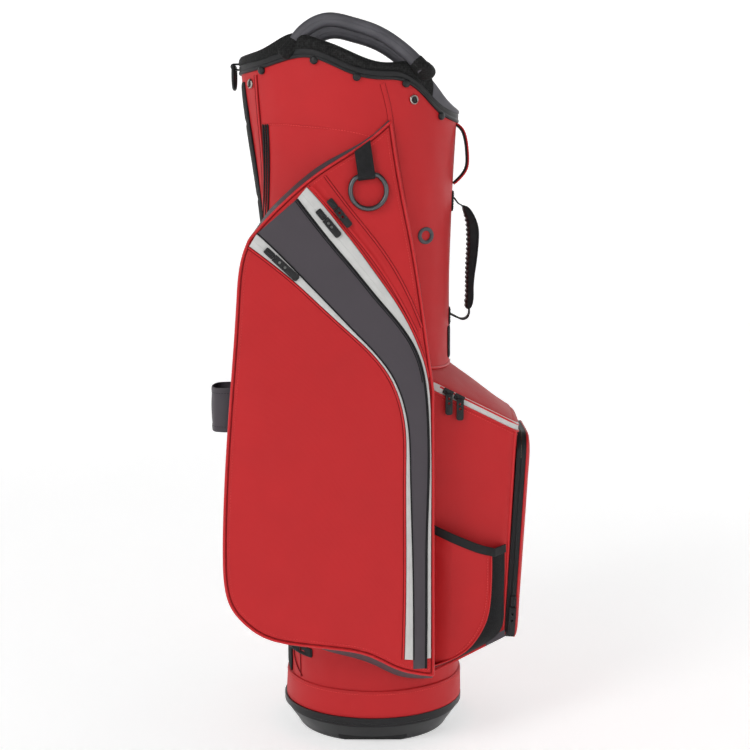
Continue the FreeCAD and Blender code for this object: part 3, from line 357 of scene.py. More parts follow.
class Look:
    """A principled material that is built up layer by layer in object space."""

    def __init__(self, name, colour, roughness, metallic=0.0, specular=0.5, sheen=0.0, coat=0.0):
        self.material = bpy.data.materials.new(name)
        self.material.use_nodes = True
        self.nodes = self.material.node_tree.nodes
        self.links = self.material.node_tree.links
        self.shader = self.nodes["Principled BSDF"]
        self.colour = colour
        self.put("Base Color", (*colour, 1))
        self.put("Roughness", roughness)
        self.put("Metallic", metallic)
        self.put("Specular IOR Level", specular)
        self.put("Sheen Weight", sheen)
        self.put("Sheen Roughness", 0.4)
        self.put("Coat Weight", coat)
        self.put("Coat Roughness", 0.12)
        self.place = self.nodes.new("ShaderNodeTexCoord").outputs["Object"]
        self.normal = None

    def put(self, socket, value):
        self.shader.inputs[socket].default_value = value

    def node(self, kind, **settings):
        made = self.nodes.new(kind)
        for key, value in settings.items():
            setattr(made, key, value)
        return made

    def noise(self, size, detail=3.0, stretch=(1, 1, 1)):
        """Noise whose features are about size millimetres across."""
        scaled = self.node("ShaderNodeMapping")
        scaled.inputs["Scale"].default_value = stretch
        self.links.new(self.place, scaled.inputs["Vector"])
        made = self.node("ShaderNodeTexNoise")
        made.inputs["Scale"].default_value = 1 / (size * MM)
        made.inputs["Detail"].default_value = detail
        self.links.new(scaled.outputs["Vector"], made.inputs["Vector"])
        return made.outputs["Fac"]

    def wave(self, direction, pitch):
        """Fine ridges across one axis, pitch millimetres apart."""
        made = self.node("ShaderNodeTexWave", wave_type="BANDS", bands_direction=direction)
        made.inputs["Scale"].default_value = math.pi / 10 / (pitch * MM)
        self.links.new(self.place, made.inputs["Vector"])
        return made.outputs["Fac"]

    def add(self, a, b, operation="ADD"):
        made = self.node("ShaderNodeMath", operation=operation)
        self.links.new(a, made.inputs[0])
        self.links.new(b, made.inputs[1])
        return made.outputs["Value"]

    def bump(self, height, depth, strength=1.0):
        made = self.node("ShaderNodeBump")
        made.inputs["Distance"].default_value = depth * MM
        made.inputs["Strength"].default_value = strength
        self.links.new(height, made.inputs["Height"])
        if self.normal is not None:
            self.links.new(self.normal, made.inputs["Normal"])
        self.normal = made.outputs["Normal"]
        self.links.new(self.normal, self.shader.inputs["Normal"])

    def weave(self, pitch, depth):
        """Plain weave: ridges across all three axes, of which each surface shows two."""
        total = self.add(self.wave("X", pitch), self.wave("Z", pitch))
        self.bump(self.add(total, self.wave("Y", pitch)), depth)

    def cells(self, size, depth):
        """Open knit: a net of small holes."""
        made = self.node("ShaderNodeTexVoronoi", feature="SMOOTH_F1")
        made.inputs["Scale"].default_value = 1 / (size * MM)
        made.inputs["Randomness"].default_value = 0.35
        self.links.new(self.place, made.inputs["Vector"])
        self.bump(made.outputs["Distance"], -depth)
        return made.outputs["Distance"]

    def vary(self, factor, low, high, other=None):
        """Colour that runs between low and high shares of the base as a factor does."""
        ramp = self.node("ShaderNodeValToRGB")
        dark = [c * low for c in self.colour]
        light = list(other) if other else [min(c * high, 1) for c in self.colour]
        ramp.color_ramp.elements[0].position = 0.3
        ramp.color_ramp.elements[1].position = 0.7
        ramp.color_ramp.elements[0].color = (*dark, 1)
        ramp.color_ramp.elements[1].color = (*light, 1)
        self.links.new(factor, ramp.inputs["Fac"])
        self.links.new(ramp.outputs["Color"], self.shader.inputs["Base Color"])

    def wear(self, factor, low, high):
        """Roughness that runs between two values as a factor does."""
        ramp = self.node("ShaderNodeMapRange")
        ramp.inputs["To Min"].default_value = low
        ramp.inputs["To Max"].default_value = high
        self.links.new(factor, ramp.inputs["Value"])
        self.links.new(ramp.outputs["Result"], self.shader.inputs["Roughness"])


def coated_nylon(name, colour, roughness=0.52):
    """Coated nylon: a tight weave under a satin film, with faint handling marks."""
    look = Look(name, colour, roughness, specular=0.27)
    look.weave(0.9, 0.018)
    look.bump(look.noise(9, 4), 0.10, 0.5)
    look.bump(look.noise(55, 2), 0.9, 0.35)
    look.vary(look.noise(60, 4), 0.965, 1.03)
    look.wear(look.noise(16, 5), roughness - 0.06, roughness + 0.1)
    return look.material


def soft_cloth(name, colour, pitch=0.8, sheen=0.04):
    look = Look(name, colour, 0.82, specular=0.18, sheen=sheen)
    look.weave(pitch, 0.03)
    look.bump(look.noise(6, 4), 0.12, 0.5)
    look.vary(look.noise(12, 5), 0.8, 1.25)
    return look.material


def open_mesh(name, colour, size):
    look = Look(name, colour, 0.75, specular=0.2, sheen=0.03)
    holes = look.cells(size, 0.5)
    look.vary(holes, 0.25, 2.2)
    look.bump(look.noise(20, 3), 0.5, 0.4)
    return look.material


def webbing_look(name, colour):
    look = Look(name, colour, 0.65, specular=0.22, sheen=0.05)
    total = look.add(look.wave("Z", 1.5), look.wave("X", 2.4))
    look.bump(total, 0.10)
    look.vary(look.noise(5, 4), 0.75, 1.35)
    return look.material


def tape_look(name, colour, roughness=0.5):
    """Zip tape: fine cross ribs with a slight shine."""
    look = Look(name, colour, roughness, specular=0.25, sheen=0.03)
    look.bump(look.add(look.wave("Z", 0.7), look.wave("X", 0.7)), 0.03)
    look.vary(look.noise(14, 4), 0.94, 1.05)
    return look.material


def plastic(name, colour, roughness, coat=0.0, grain=0.05):
    look = Look(name, colour, roughness, specular=0.3, coat=coat)
    look.bump(look.noise(0.7, 3), grain, 0.6)
    look.wear(look.noise(22, 5), roughness - 0.06, roughness + 0.12)
    look.vary(look.noise(30, 4), 0.85, 1.2)
    return look.material


def metal(name, colour, roughness):
    look = Look(name, colour, roughness, metallic=1.0)
    look.bump(look.noise(2.5, 4), 0.015, 0.5)
    look.wear(look.noise(7, 5), roughness - 0.05, roughness + 0.12)
    look.vary(look.noise(12, 4), 0.88, 1.1)
    return look.material


RED = coated_nylon("red_nylon", (0.475, 0.012, 0.015))
# The piping's red is lighter than the body's: partly painted highlight on its rolled edges, on top of its
# glossier finish.
RED_TRIM_WITH_HIGHLIGHT = coated_nylon("red_piping_with_painted_highlight", (0.53, 0.017, 0.021), 0.36)
RED_THREAD = soft_cloth("red_thread", (0.66, 0.06, 0.06), 0.6, 0.1)
# Dark red for thin tubes along seams and beside pipings: painted shade for the creases there.
RED_CREASE_SHADE = soft_cloth("red_crease_painted_shade", (0.16, 0.006, 0.008), 0.6, 0.0)
GREY = coated_nylon("grey_nylon", (0.062, 0.053, 0.062), 0.5)
GUSSET = coated_nylon("grey_gusset", (0.062, 0.054, 0.062), 0.55)
BLACK_CLOTH = soft_cloth("black_cloth", (0.012, 0.012, 0.013))
BLACK_THREAD = soft_cloth("black_thread", (0.02, 0.02, 0.022), 0.6)
LINING = soft_cloth("lining", (0.022, 0.022, 0.024))
KNIT = open_mesh("black_mesh", (0.012, 0.012, 0.012), 2.2)
BOTTLE_KNIT = open_mesh("bottle_mesh", (0.008, 0.008, 0.009), 1.6)
WEBBING = webbing_look("black_webbing", (0.010, 0.010, 0.011))
SILVER = tape_look("silver_tape", (0.56, 0.56, 0.55))
BLACK_TAPE = tape_look("black_tape", (0.012, 0.012, 0.013), 0.55)
HEM = tape_look("elastic_hem", (0.011, 0.011, 0.012), 0.65)
BLACK_PLASTIC = plastic("black_plastic", (0.012, 0.012, 0.013), 0.38)
BINDING = plastic("binding_plastic", (0.011, 0.011, 0.012), 0.48, grain=0.12)
BOOT = plastic("boot_plastic", (0.005, 0.005, 0.006), 0.4, coat=0.05)
GREY_RUBBER = plastic("grey_rubber", (0.078, 0.076, 0.086), 0.55, grain=0.1)
PULL = plastic("pull_rubber", (0.012, 0.012, 0.013), 0.42, grain=0.04)
GUNMETAL = metal("gunmetal", (0.10, 0.105, 0.11), 0.3)
SNAP = metal("snap_metal", (0.46, 0.43, 0.40), 0.24)
TEETH = metal("zip_teeth", (0.13, 0.11, 0.09), 0.4)
STAY = metal("stay_metal", (0.55, 0.55, 0.57), 0.35)


# ---- Body ---------------------------------------------------------------------------------------

STATION_CURVE = spline(STATIONS, 400)


def section(z):
    """Centre x, half length and half width of the body at a height."""
    spine, front, half_y = (np.interp(z, STATION_CURVE[:, 0], STATION_CURVE[:, k]) for k in (1, 2, 3))
    return (spine + front) / 2, (front - spine) / 2, half_y


def on_body(angle, z, lift=0.0):
    """Point on the body: angle 0 faces the front and -90 degrees the near side."""
    centre, half_x, half_y = section(z)
    x = centre + (half_x + lift) * np.cos(angle)
    y = (half_y + lift) * np.sin(angle)
    return np.stack(np.broadcast_arrays(x, y, np.asarray(z, float)), -1)


def near_angle(x, z):
    centre, half_x, _ = section(z)
    return -np.arccos(np.clip((x - centre) / half_x, -1, 1))


def on_near_body(line, lift=0.0):
    """Points on the near half of the body for an array of (x, z)."""
    line = np.asarray(line, float)
    return on_body(near_angle(line[:, 0], line[:, 1]), line[:, 1], lift)


def body_out(points):
    """Outward direction of the body at points on it."""
    centre, half_x, half_y = section(points[:, 2])
    return unit(np.stack([(points[:, 0] - centre) / half_x ** 2, points[:, 1] / half_y ** 2, 0 * centre], 1))


def rim_height(curve, angle):
    """Height at which the body's surface meets a curve of (x, z)."""
    curve = spline(curve, 300)
    z = np.full_like(angle, 840.0)
    for _ in range(8):
        centre, half_x, _ = section(z)
        z = np.interp(centre + half_x * np.cos(angle), curve[:, 0], curve[:, 1])
    return z


def body_grid(lift, bottom, top, columns=180, rows=150):
    """Skin of the body from a bottom height up to a top height for each angle, with soft folds."""
    angle = np.arange(columns) * 2 * math.pi / columns
    share = np.linspace(0, 1, rows)[:, None]
    z = bottom + (top(angle) - bottom) * share
    fold = 0.5 * np.sin(3 * angle + z / 61) + 0.4 * np.sin(7 * angle - z / 37 + 1.3)
    fold = fold + 0.22 * np.sin(19 * angle + z / 90) * np.sin(z / 23)
    calm = smoothstep(0, 0.05, share) * smoothstep(1, 0.93, share)
    return on_body(np.broadcast_to(angle, z.shape), z, lift + fold * calm)


def seam_fold(line, width, height, place, out, look):
    """Raised felled seam along a line, with a dark red tube along each of its edges as painted shade in its
    creases.
    """
    path = place(line, height * 0.3)
    outward = out(path)
    parts = [(sweep(path, rounded_box(width, height, height * 0.45, 3), outward), look)]
    run = unit(np.gradient(line, axis=0))
    away = np.stack([-run[:, 1], run[:, 0]], 1) * (width / 2)
    for side in (-1, 1):
        crease = place(line + away * side, 0.25)
        # The dark tube beside the seam is painted shade in its crease.
        parts.append((tube(crease, 0.42, outward, steps=6), RED_CREASE_SHADE))
    return parts


def body_seams():
    """Panel seams of the near side, and the stitched line across its upper panel."""
    left = spline([(-144, 845), (-142, 809), (-138, 753), (-137, 700), (-139, 668)], 90)
    right = spline([(12, 832), (19, 805), (22, 787), (27, 753), (40, 680), (53, 606), (64, 530),
                    (73, 466)], 150)
    across = spline([(-137, 785), (-107, 784), (-76, 781), (-27, 775), (-5, 770)], 60)
    parts = []
    for line, width in ((left, 4), (right, 6)):
        parts += seam_fold(line, width, 1.3, on_near_body, body_out, RED)
    path = on_near_body(across, 0.2)
    parts.append((sweep(path, rounded_box(2.4, 0.8, 0.35, 3), body_out(path)), RED))
    parts.append((stitches(on_near_body(across, 0.75), body_out(path)), RED_THREAD))
    return parts


def make_body():
    angle_top = lambda a: rim_height(RIM_CURVE, a) + 3
    outer = body_grid(0.0, BASE_HEIGHT, angle_top)
    inner = body_grid(-WALL, BASE_HEIGHT, angle_top)
    lip = grid(np.array([outer[-1], inner[-1]]), wrap_columns=True)
    parts = [(grid(outer, wrap_columns=True), RED), (grid(inner, wrap_columns=True), LINING),
             (lip, BLACK_CLOTH)]
    seams = body_seams()
    parts += seams + [(mirrored(s), m) for s, m in seams]
    piece("body_fabric", "bag", parts, ["body_shell"])


def make_cuff():
    """Reinforcing band round the bottom, with its seam and the upright seams above it."""
    angle = np.arange(180) * 2 * math.pi / 180
    steps = ((BASE_HEIGHT, 0.2), (BASE_HEIGHT, 1.6), (BASE_HEIGHT + 8, 2.0), (CUFF_TOP - 9, 2.0),
             (CUFF_TOP - 3, 2.2),
             (CUFF_TOP - 0.6, 1.9), (CUFF_TOP, 1.2), (CUFF_TOP, -0.4))
    rows = [on_body(angle, np.full(180, float(z)), lift) for z, lift in steps]
    thread = stitches(on_body(np.linspace(0, 2 * math.pi, 300), np.full(300, CUFF_TOP - 4.5), 2.2), (0, 0, 1))
    parts = [(grid(np.array(rows), wrap_columns=True), RED), (thread, RED_THREAD)]
    # The upright seams are thin dark red tubes: painted shade in their grooves.
    for line in (spline([(-103, 114), (-102, 97), (-98, 86), (-91, 77)], 40),
                 spline([(-94, 114), (-93.5, 95), (-93, 75)], 40)):
        seam = tube(on_near_body(line, 0.25), 0.7, body_out(on_near_body(line)), steps=6)
        parts += [(seam, RED_CREASE_SHADE), (mirrored(seam), RED_CREASE_SHADE)]
    piece("base_cuff_fabric", "bag", parts, ["base_cuff"])


def make_spine_panel():
    """Padded strip down the spine, quilted across."""
    half, low, high, channel = 34.0, CUFF_TOP + 2, 838, 95.0
    v = np.linspace(-1, 1, 41)
    z = np.linspace(low, high, 240)[:, None]
    half_y = section(z)[2]
    angle = math.pi - np.arcsin(v * half / half_y)
    edge = np.minimum((1 - np.abs(v)) * half, np.minimum(z - low, high - z))
    puff = 0.5 + 1.5 * (1 - np.exp(-edge / 5))
    puff = puff - 1.1 * np.exp(-(((z - low) % channel - channel / 2) / 3.0) ** 2)
    puff = np.maximum(puff - 0.9 * np.exp(-((np.abs(v) * half - 17) / 2.2) ** 2), 0.4)
    outer = on_body(angle, np.broadcast_to(z, angle.shape), puff)
    inner = on_body(angle, np.broadcast_to(z, angle.shape), 0.0)
    parts = [(sheet_solid(outer, inner), KNIT)]
    for side in (-1, 1):
        line_z = np.linspace(low, high, 200)
        a = math.pi - np.arcsin(side * half / section(line_z)[2])
        cord = on_body(a, line_z, 0.6)
        parts.append((tube(cord, 1.2, (0, 1, 0), steps=8), BLACK_CLOTH))
    piece("spine_pad", "bag", parts, ["spine_panel"])


# ---- Mouth --------------------------------------------------------------------------------------


def rim_band(profile, low, high, angle, closed):
    """Band along the rim: profile lists (lift, share of the height between two curves)."""
    bottom, top = low(angle), high(angle)
    rows = [on_body(angle, bottom + (top - bottom) * share, lift) for lift, share in profile]
    points = np.array(rows)
    shape = grid(points, wrap_rows=True, wrap_columns=closed)
    if not closed:
        count, length = len(profile), len(angle)
        shape[1].append(tuple(k * length for k in range(count)))
        shape[1].append(tuple(k * length + length - 1 for k in reversed(range(count))))
    return shape


def rim_at(lift):
    return lambda angle: rim_height(RIM_CURVE, angle) + lift


def mouth_end_angle():
    """Angle at which the collar gives way to the moulded grip."""
    centre, half_x, _ = section(840.0)
    return math.acos((COLLAR_END - centre) / half_x)


def make_binding():
    """Moulded rim that clamps the fabric, with a raised bead along its lower edge."""
    profile = [(-4.6, 0.0), (-5.2, 0.06), (-5.2, 0.94), (-4.6, 1.0), (1.2, 1.0), (1.9, 0.93),
               (2.1, 0.75), (1.9, 0.42),
               (2.6, 0.34), (3.0, 0.22), (3.0, 0.1), (2.5, 0.02), (1.6, 0.0)]
    angle = np.arange(240) * 2 * math.pi / 240
    shape = rim_band(profile, rim_at(0), rim_at(BINDING_HEIGHT), angle, True)
    piece("rim_binding_moulding", "bag", [(shape, BINDING)], ["rim_binding"])


def make_collar():
    """Foam collar in knitted mesh round the back and sides, with sleeves over the handle ends."""
    end = mouth_end_angle()
    angle = np.linspace(end, 2 * math.pi - end, 230)
    profile = [(-8.6, 0.0), (-10.2, 0.25), (-10.4, 0.6), (-8.6, 0.88), (-4.2, 1.0), (-0.6, 0.9), (1.6, 0.62),
               (2.3, 0.3), (1.8, 0.08), (0.8, 0.0)]
    crest = lambda a: rim_height(COLLAR_TOP, a)
    parts = [(rim_band(profile, rim_at(BINDING_HEIGHT), crest, angle, False), KNIT)]
    line = handle_line()
    for side in (-1, 1):
        for end in (line[:10], line[:-11:-1]):
            beyond = end[0] + (end[0] - end[4]) * np.linspace(1.3, 0.15, 8)[:, None]
            along = np.vstack([beyond, end])
            centre, half_x, half_y = section(along[:, 1])
            wall = half_y * np.sqrt(1 - np.clip((along[:, 0] - centre) / half_x, -1, 1) ** 2) - 5
            share = np.linspace(0, 1, len(along))
            depth = HANDLE_PLANE + (wall - HANDLE_PLANE) * np.clip(1 - share / 0.6, 0, 1)
            path = np.stack([along[:, 0], side * depth, along[:, 1]], 1)
            swell = (1.22 - 0.16 * share) * np.sqrt(np.clip(1 - (1 - share / 0.3) ** 2 * (share < 0.3),
                                                            0.02, 1))
            swell[-1] = 0.95
            parts.append((sweep(path, oval(24, 18), (0, 0, 1), scale=swell), KNIT))
        seam_z = rim_height(COLLAR_TOP, angle) - 1.5
        cord = on_body(angle, seam_z, -4.2)
        if side > 0:
            parts.append((tube(cord, 1.3, (0, 0, 1), steps=8), BLACK_CLOTH))
    piece("mesh_collar_pad", "bag", parts, ["mesh_collar"])


def oval(width, height, steps=20):
    return [(width / 2 * math.cos(a), height / 2 * math.sin(a))
            for a in np.arange(steps) * 2 * math.pi / steps]


def handle_line():
    return spline(HANDLE_LINE, 120)


def make_handles():
    """Two moulded lift handles with a raised parting line along each side."""
    parts = []
    for side in (-1, 1):
        line = handle_line()
        path = np.stack([line[:, 0], np.full(len(line), side * float(HANDLE_PLANE)), line[:, 1]], 1)
        profile = [(11.5 * math.copysign(abs(math.cos(a)) ** 0.8, math.cos(a)),
                    8.5 * math.copysign(abs(math.sin(a)) ** 0.8, math.sin(a)))
                   for a in np.arange(28) * 2 * math.pi / 28]
        parts.append((sweep(path, profile, (0, 0, 1)), GREY_RUBBER))
        for edge in (-1, 1):
            ridge = path + np.array([0, edge * 11.3, 0])
            parts.append((tube(ridge[8:-8], 0.8, (0, 0, 1), steps=6), GREY_RUBBER))
    piece("lift_handle_mouldings", "bag", parts, ["lift_handles"])


def make_front_grip():
    """Moulded grey grip round the front of the mouth."""
    end = mouth_end_angle()
    angle = np.linspace(-end, end, 90)
    profile = [(-10.5, 0.0), (-12.4, 0.3), (-12.0, 0.7), (-9.0, 0.95), (-4.0, 1.0), (0.5, 0.9), (2.6, 0.6),
               (2.8, 0.25), (2.0, 0.0)]
    crest = lambda a: rim_height(GRIP_TOP, a)
    shape = rim_band(profile, rim_at(BINDING_HEIGHT), crest, angle, False)
    piece("front_grip_moulding", "bag", [(shape, GREY_RUBBER)], ["front_grip"])


def tapered(value, z):
    return value * (SLEEVE_TAPER + (1 - SLEEVE_TAPER) * np.minimum(z, 900) / 900)


def divider_lines():
    """Ends of the thirteen dividers in plan: four across, then short ones between them."""
    far = 260.0
    lines = [((x, -far), (x, far)) for x in CROSS_WALLS]
    edges = [-far, *CROSS_WALLS, far]
    for row, (back, front) in enumerate(zip(edges, edges[1:])):
        for y in (0.0,) if row == len(CROSS_WALLS) else (-SIDE_WALL, SIDE_WALL):
            lines.append(((back, y), (front, y)))
    return lines


def inside_span(a, b, z, margin):
    """The stretch of a plan line that lies inside the body at a height, as two shares."""
    centre, half_x, half_y = section(z)
    share = np.linspace(0, 1, 400)
    points = np.array(a)[None] + share[:, None] * (np.array(b) - np.array(a))[None]
    x, y = tapered(points[:, 0], z), tapered(points[:, 1], z)
    inside = ((x - centre) / (half_x - margin)) ** 2 + (y / (half_y - margin)) ** 2 < 1
    inside &= x < COLLAR_END + 9
    return share[inside].min(), share[inside].max()


def make_divider_fabric():
    """Full-length fabric dividers, hanging in slow waves."""
    shapes = []
    low, high = 39.0, 810.0
    for n, (a, b) in enumerate(divider_lines()):
        rows = []
        for z in np.linspace(low, high, 36):
            first, last = inside_span(a, b, z, WALL + 1.6)
            share = np.linspace(first, last, 14)
            plan = np.array(a)[None] + share[:, None] * (np.array(b) - np.array(a))[None]
            calm = math.sin(math.pi * (z - low) / (high - low))
            wave = 2.2 * calm * np.sin(share * 9 + z / 90 + n)
            x, y = tapered(plan[:, 0], z), tapered(plan[:, 1], z)
            across = a[0] == b[0]
            rows.append(np.stack([x + wave * across, y + wave * (not across), np.full(14, z)], 1))
        outer = np.array(rows)
        shift = np.array([0.9, 0, 0]) if a[0] == b[0] else np.array([0, 0.9, 0])
        shapes.append(sheet_solid(outer, outer - shift))
    piece("divider_fabric", "bag", [(join(shapes), LINING)], ["divider_sleeves"])


def make_rim_hardware():
    """Black rivets along the binding and bright snaps for a rain hood."""
    rivet = [(4.6, -1.0), (5.0, 0.6), (4.9, 2.6), (4.2, 3.6), (2.6, 4.2), (0.02, 4.4)]
    for x, z in ((-135, 850), (-70, 860), (-19, 840), (40, 833), (84, 795)):
        add_heads(x, z, rivet, RIVETS)
    snap = [(5.9, -0.6), (6.0, 0.9), (5.6, 1.8), (4.9, 2.2), (4.2, 1.8), (3.9, 0.5)]
    core = [(3.9, 0.5), (2.6, 0.35), (1.6, 0.4), (1.3, 1.3), (0.02, 1.6)]
    for x, z in ((-151, 835), (50, 814)):
        add_heads(x, z, snap, SNAPS)
        add_heads(x, z, core, CORES)
    piece("rim_rivet_heads", "bag", [(join(RIVETS), BLACK_PLASTIC)], ["rim_rivets"])
    piece("hood_snaps", "bag", [(join(SNAPS), SNAP), (join(CORES), BLACK_PLASTIC)], ["hood_studs"])


RIVETS, SNAPS, CORES = [], [], []


def add_heads(x, z, profile, group):
    point = on_near_body([(x, z)], 0.4)
    shape = lathe(profile, point[0], body_out(point)[0])
    group.append(shape)
    group.append(mirrored(shape))


# ---- Side pockets ---------------------------------------------------------------------------------

FACE_OUT = unit((FACE[1], -1, FACE[2]))
DIAGONAL, LEFT, SEAM = spline(DIAGONAL_EDGE, 90), spline(LEFT_EDGE, 240), spline(BODY_SEAM, 90)
RIGHT = np.linspace(RIGHT_BOTTOM, RIGHT_TOP, 110)
OUTLINE = np.vstack([DIAGONAL[:-1], LEFT[:-1], RIGHT[:-1], SEAM[:-1]])


def edge_distance(x, z):
    """Distance from points on the face to the pocket's outline, and where along it they are nearest."""
    start, end = OUTLINE, np.roll(OUTLINE, -1, 0)
    run = end - start
    length = np.linalg.norm(run, axis=1)
    before = np.concatenate([[0], np.cumsum(length)[:-1]])
    flat = np.stack([np.ravel(x), np.ravel(z)], 1).astype(float)
    best, along = np.full(len(flat), 1e9), np.zeros(len(flat))
    for s, r, size, offset in zip(start, run, length, before):
        t = np.clip(((flat - s) @ r) / size ** 2, 0, 1)
        gap = np.linalg.norm(flat - s - t[:, None] * r, axis=1)
        closer = gap < best
        best[closer] = gap[closer]
        along[closer] = (offset + t * size)[closer]
    return best.reshape(np.shape(x)), along.reshape(np.shape(x))


def face_relief(x, z):
    """How far the filled face stands off its plane: full low down, drawn in at the piping."""
    distance, along = edge_distance(x, z)
    low = smoothstep(575, 400, z)
    crown = 5.0 * low * (1 - np.exp(-distance / 50))
    edge = -2.6 * np.exp(-distance / 4.5)
    pucker = 0.40 * np.exp(-distance / 10) * np.sin(along / 2.6 + 1.5 * np.sin(along / 19))
    slack = (0.15 + 0.85 * low) * (1 - np.exp(-distance / 30))
    folds = 0.9 * np.sin(x / 41 + z / 120 + 0.7) + 0.7 * np.sin(z / 67 - x / 88)
    return crown + edge + pucker + slack * folds


def on_face(line, lift=0.0):
    """Points on the pocket's face for an array of (x, z)."""
    line = np.asarray(line, float)
    x, z = line[..., 0], line[..., 1]
    plane = np.stack([x, FACE[0] + FACE[1] * x + FACE[2] * z, z], -1)
    return plane + FACE_OUT * (face_relief(x, z) + lift)[..., None]


def pocket_face():
    """Face panel: rows by height between the outline's left and right edges."""
    left = np.vstack([DIAGONAL, LEFT[1:]])[::-1]
    right = np.vstack([RIGHT, SEAM[1:]])
    z = np.concatenate([np.arange(112, 204, 2.3), np.arange(204, 756, 4.6), np.linspace(756, 787, 14)])
    k = np.linspace(0, 1, 84)
    share = 0.55 * k + 0.45 * (1 - np.cos(math.pi * k)) / 2
    low, high = np.interp(z, left[:, 1], left[:, 0]), np.interp(z, right[:, 1], right[:, 0])
    x = low[:, None] + (high - low)[:, None] * share
    return grid(on_face(np.stack(np.broadcast_arrays(x, z[:, None]), -1)))


def body_y(x, z):
    """The near side's y behind the pocket, no nearer the middle than the pocket's back."""
    centre, half_x, half_y = section(z)
    across = np.clip((x - centre) / half_x, -1, 1)
    return np.minimum(POCKET_BACK, -half_y * np.sqrt(1 - across ** 2))


def gusset(line, drop, bulge, sign, flare=0.0):
    """Side wall of the pocket from a stretch of its outline back to the body."""
    run = unit(np.gradient(line, axis=0))
    away = np.stack([-run[:, 1], run[:, 0]], 1) * sign
    front = on_face(line, -0.6)
    spread = line + away * np.reshape(flare, (-1, 1))
    back_z = spread[:, 1] - drop
    back = np.stack([spread[:, 0], body_y(spread[:, 0], back_z) + 1.0, back_z], 1)
    rows = []
    for t in np.linspace(0, 1, 12):
        row = front + (back - front) * t
        swell = bulge * math.sin(math.pi * t) ** 0.7
        row[:, 0] += away[:, 0] * swell
        row[:, 2] += away[:, 1] * swell
        rows.append(row)
    return grid(np.array(rows))


def pocket_back_panel():
    """Back of the pocket where it reaches past the spine side of the body."""
    left = np.vstack([DIAGONAL, LEFT[1:]])[::-1]
    z = np.linspace(160, 655, 100)
    low = np.interp(z, left[:, 1], left[:, 0])
    centre, half_x, half_y = section(z)
    high = centre - half_x * np.sqrt(1 - ((POCKET_BACK + 3) / half_y) ** 2)
    high = np.maximum(high, low + 0.5)
    share = np.linspace(0, 1, 12)
    x = low[:, None] + (high - low)[:, None] * share
    y = POCKET_BACK + 1.0 + 2.0 * np.sin(math.pi * share) + 0 * x
    return grid(np.stack(np.broadcast_arrays(x, y, z[:, None]), -1))


TAPE_PROFILE = ((0.0, 0.1), (0.03, 0.75), (0.10, 0.95), (0.42, 1.15), (0.47, 1.2), (0.49, 0.95), (0.51, 0.95),
                (0.53, 1.2), (0.58, 1.15), (0.90, 0.95), (0.97, 0.75), (1.0, 0.1))


def tape(left, right, place, profile=TAPE_PROFILE, steps=130):
    """Zip tape between two curves, with a slit along its middle."""
    a, b = resample_count(spline(left, 300), steps), resample_count(spline(right, 300), steps)
    rows = [place(a + (b - a) * share, height) for share, height in profile]
    return grid(np.array(rows))


def resample_count(path, count):
    length = np.linalg.norm(np.diff(path, axis=0), axis=1).sum()
    return resample(path, length / (count - 1))[:count]


def beside(points, gap, low=0.0):
    """Smooth line beside a curve on the face, on its upper right where gap is positive, down to a height."""
    line = resample(spline(points, 300), 3.0)
    run = unit(np.gradient(line, axis=0))
    line = line + np.stack([-run[:, 1], run[:, 0]], 1) * gap
    return line[line[:, 1] > low]


def face_cord(line, radius, lift, look):
    return (tube(on_face(line, lift), radius, FACE_OUT, steps=8), look)


def make_side_pockets():
    drop = 30 * smoothstep(-128, -50, LEFT[:, 0]) * (LEFT[:, 1] < 200)
    fade = 30 * smoothstep(190, 112, RIGHT[:, 1])
    none = np.zeros(len(DIAGONAL))
    flare = 6.5 * smoothstep(-148, -122, DIAGONAL[:, 0]) * smoothstep(8, -66, DIAGONAL[:, 0])
    piping = tube(on_face(resample(OUTLINE, 2.6, closed=True), 0.9), 1.7, FACE_OUT, closed=True)
    # A dark red tube just inside the piping is painted shade for the crease there.
    ditch_shade_line = inset_outline(2.6)
    parts = [
        (pocket_face(), RED),
        (gusset(DIAGONAL, none, 3.2, -1, flare), GUSSET),
        (gusset(LEFT, drop, 2.5, -1), GUSSET),
        (gusset(RIGHT, fade, 1.5, -1), RED),
        (gusset(SEAM, np.zeros(len(SEAM)), 1.0, -1), RED),
        (pocket_back_panel(), GUSSET),
        (piping, RED_TRIM_WITH_HIGHLIGHT),
    ]
    inner = inset_outline(6.5)
    parts.append((stitches(on_face(inner, 0.25), FACE_OUT, radius=0.26), RED_THREAD))
    parts.append((tube(on_face(ditch_shade_line, 0.35), 0.45, FACE_OUT, closed=True, steps=6), RED_CREASE_SHADE))
    on_both_sides("side_pocket_fabric_{}", parts, ["side_pocket_{}"])


def inset_outline(inset):
    """The pocket's outline moved in by a distance, without its crossings at the corners."""
    path = resample(OUTLINE, 3.0, closed=True)
    run = unit(np.roll(path, -1, 0) - np.roll(path, 1, 0))
    moved = path + np.stack([-run[:, 1], run[:, 0]], 1) * inset
    distance, _ = edge_distance(moved[:, 0], moved[:, 1])
    return moved[distance > inset * 0.93]


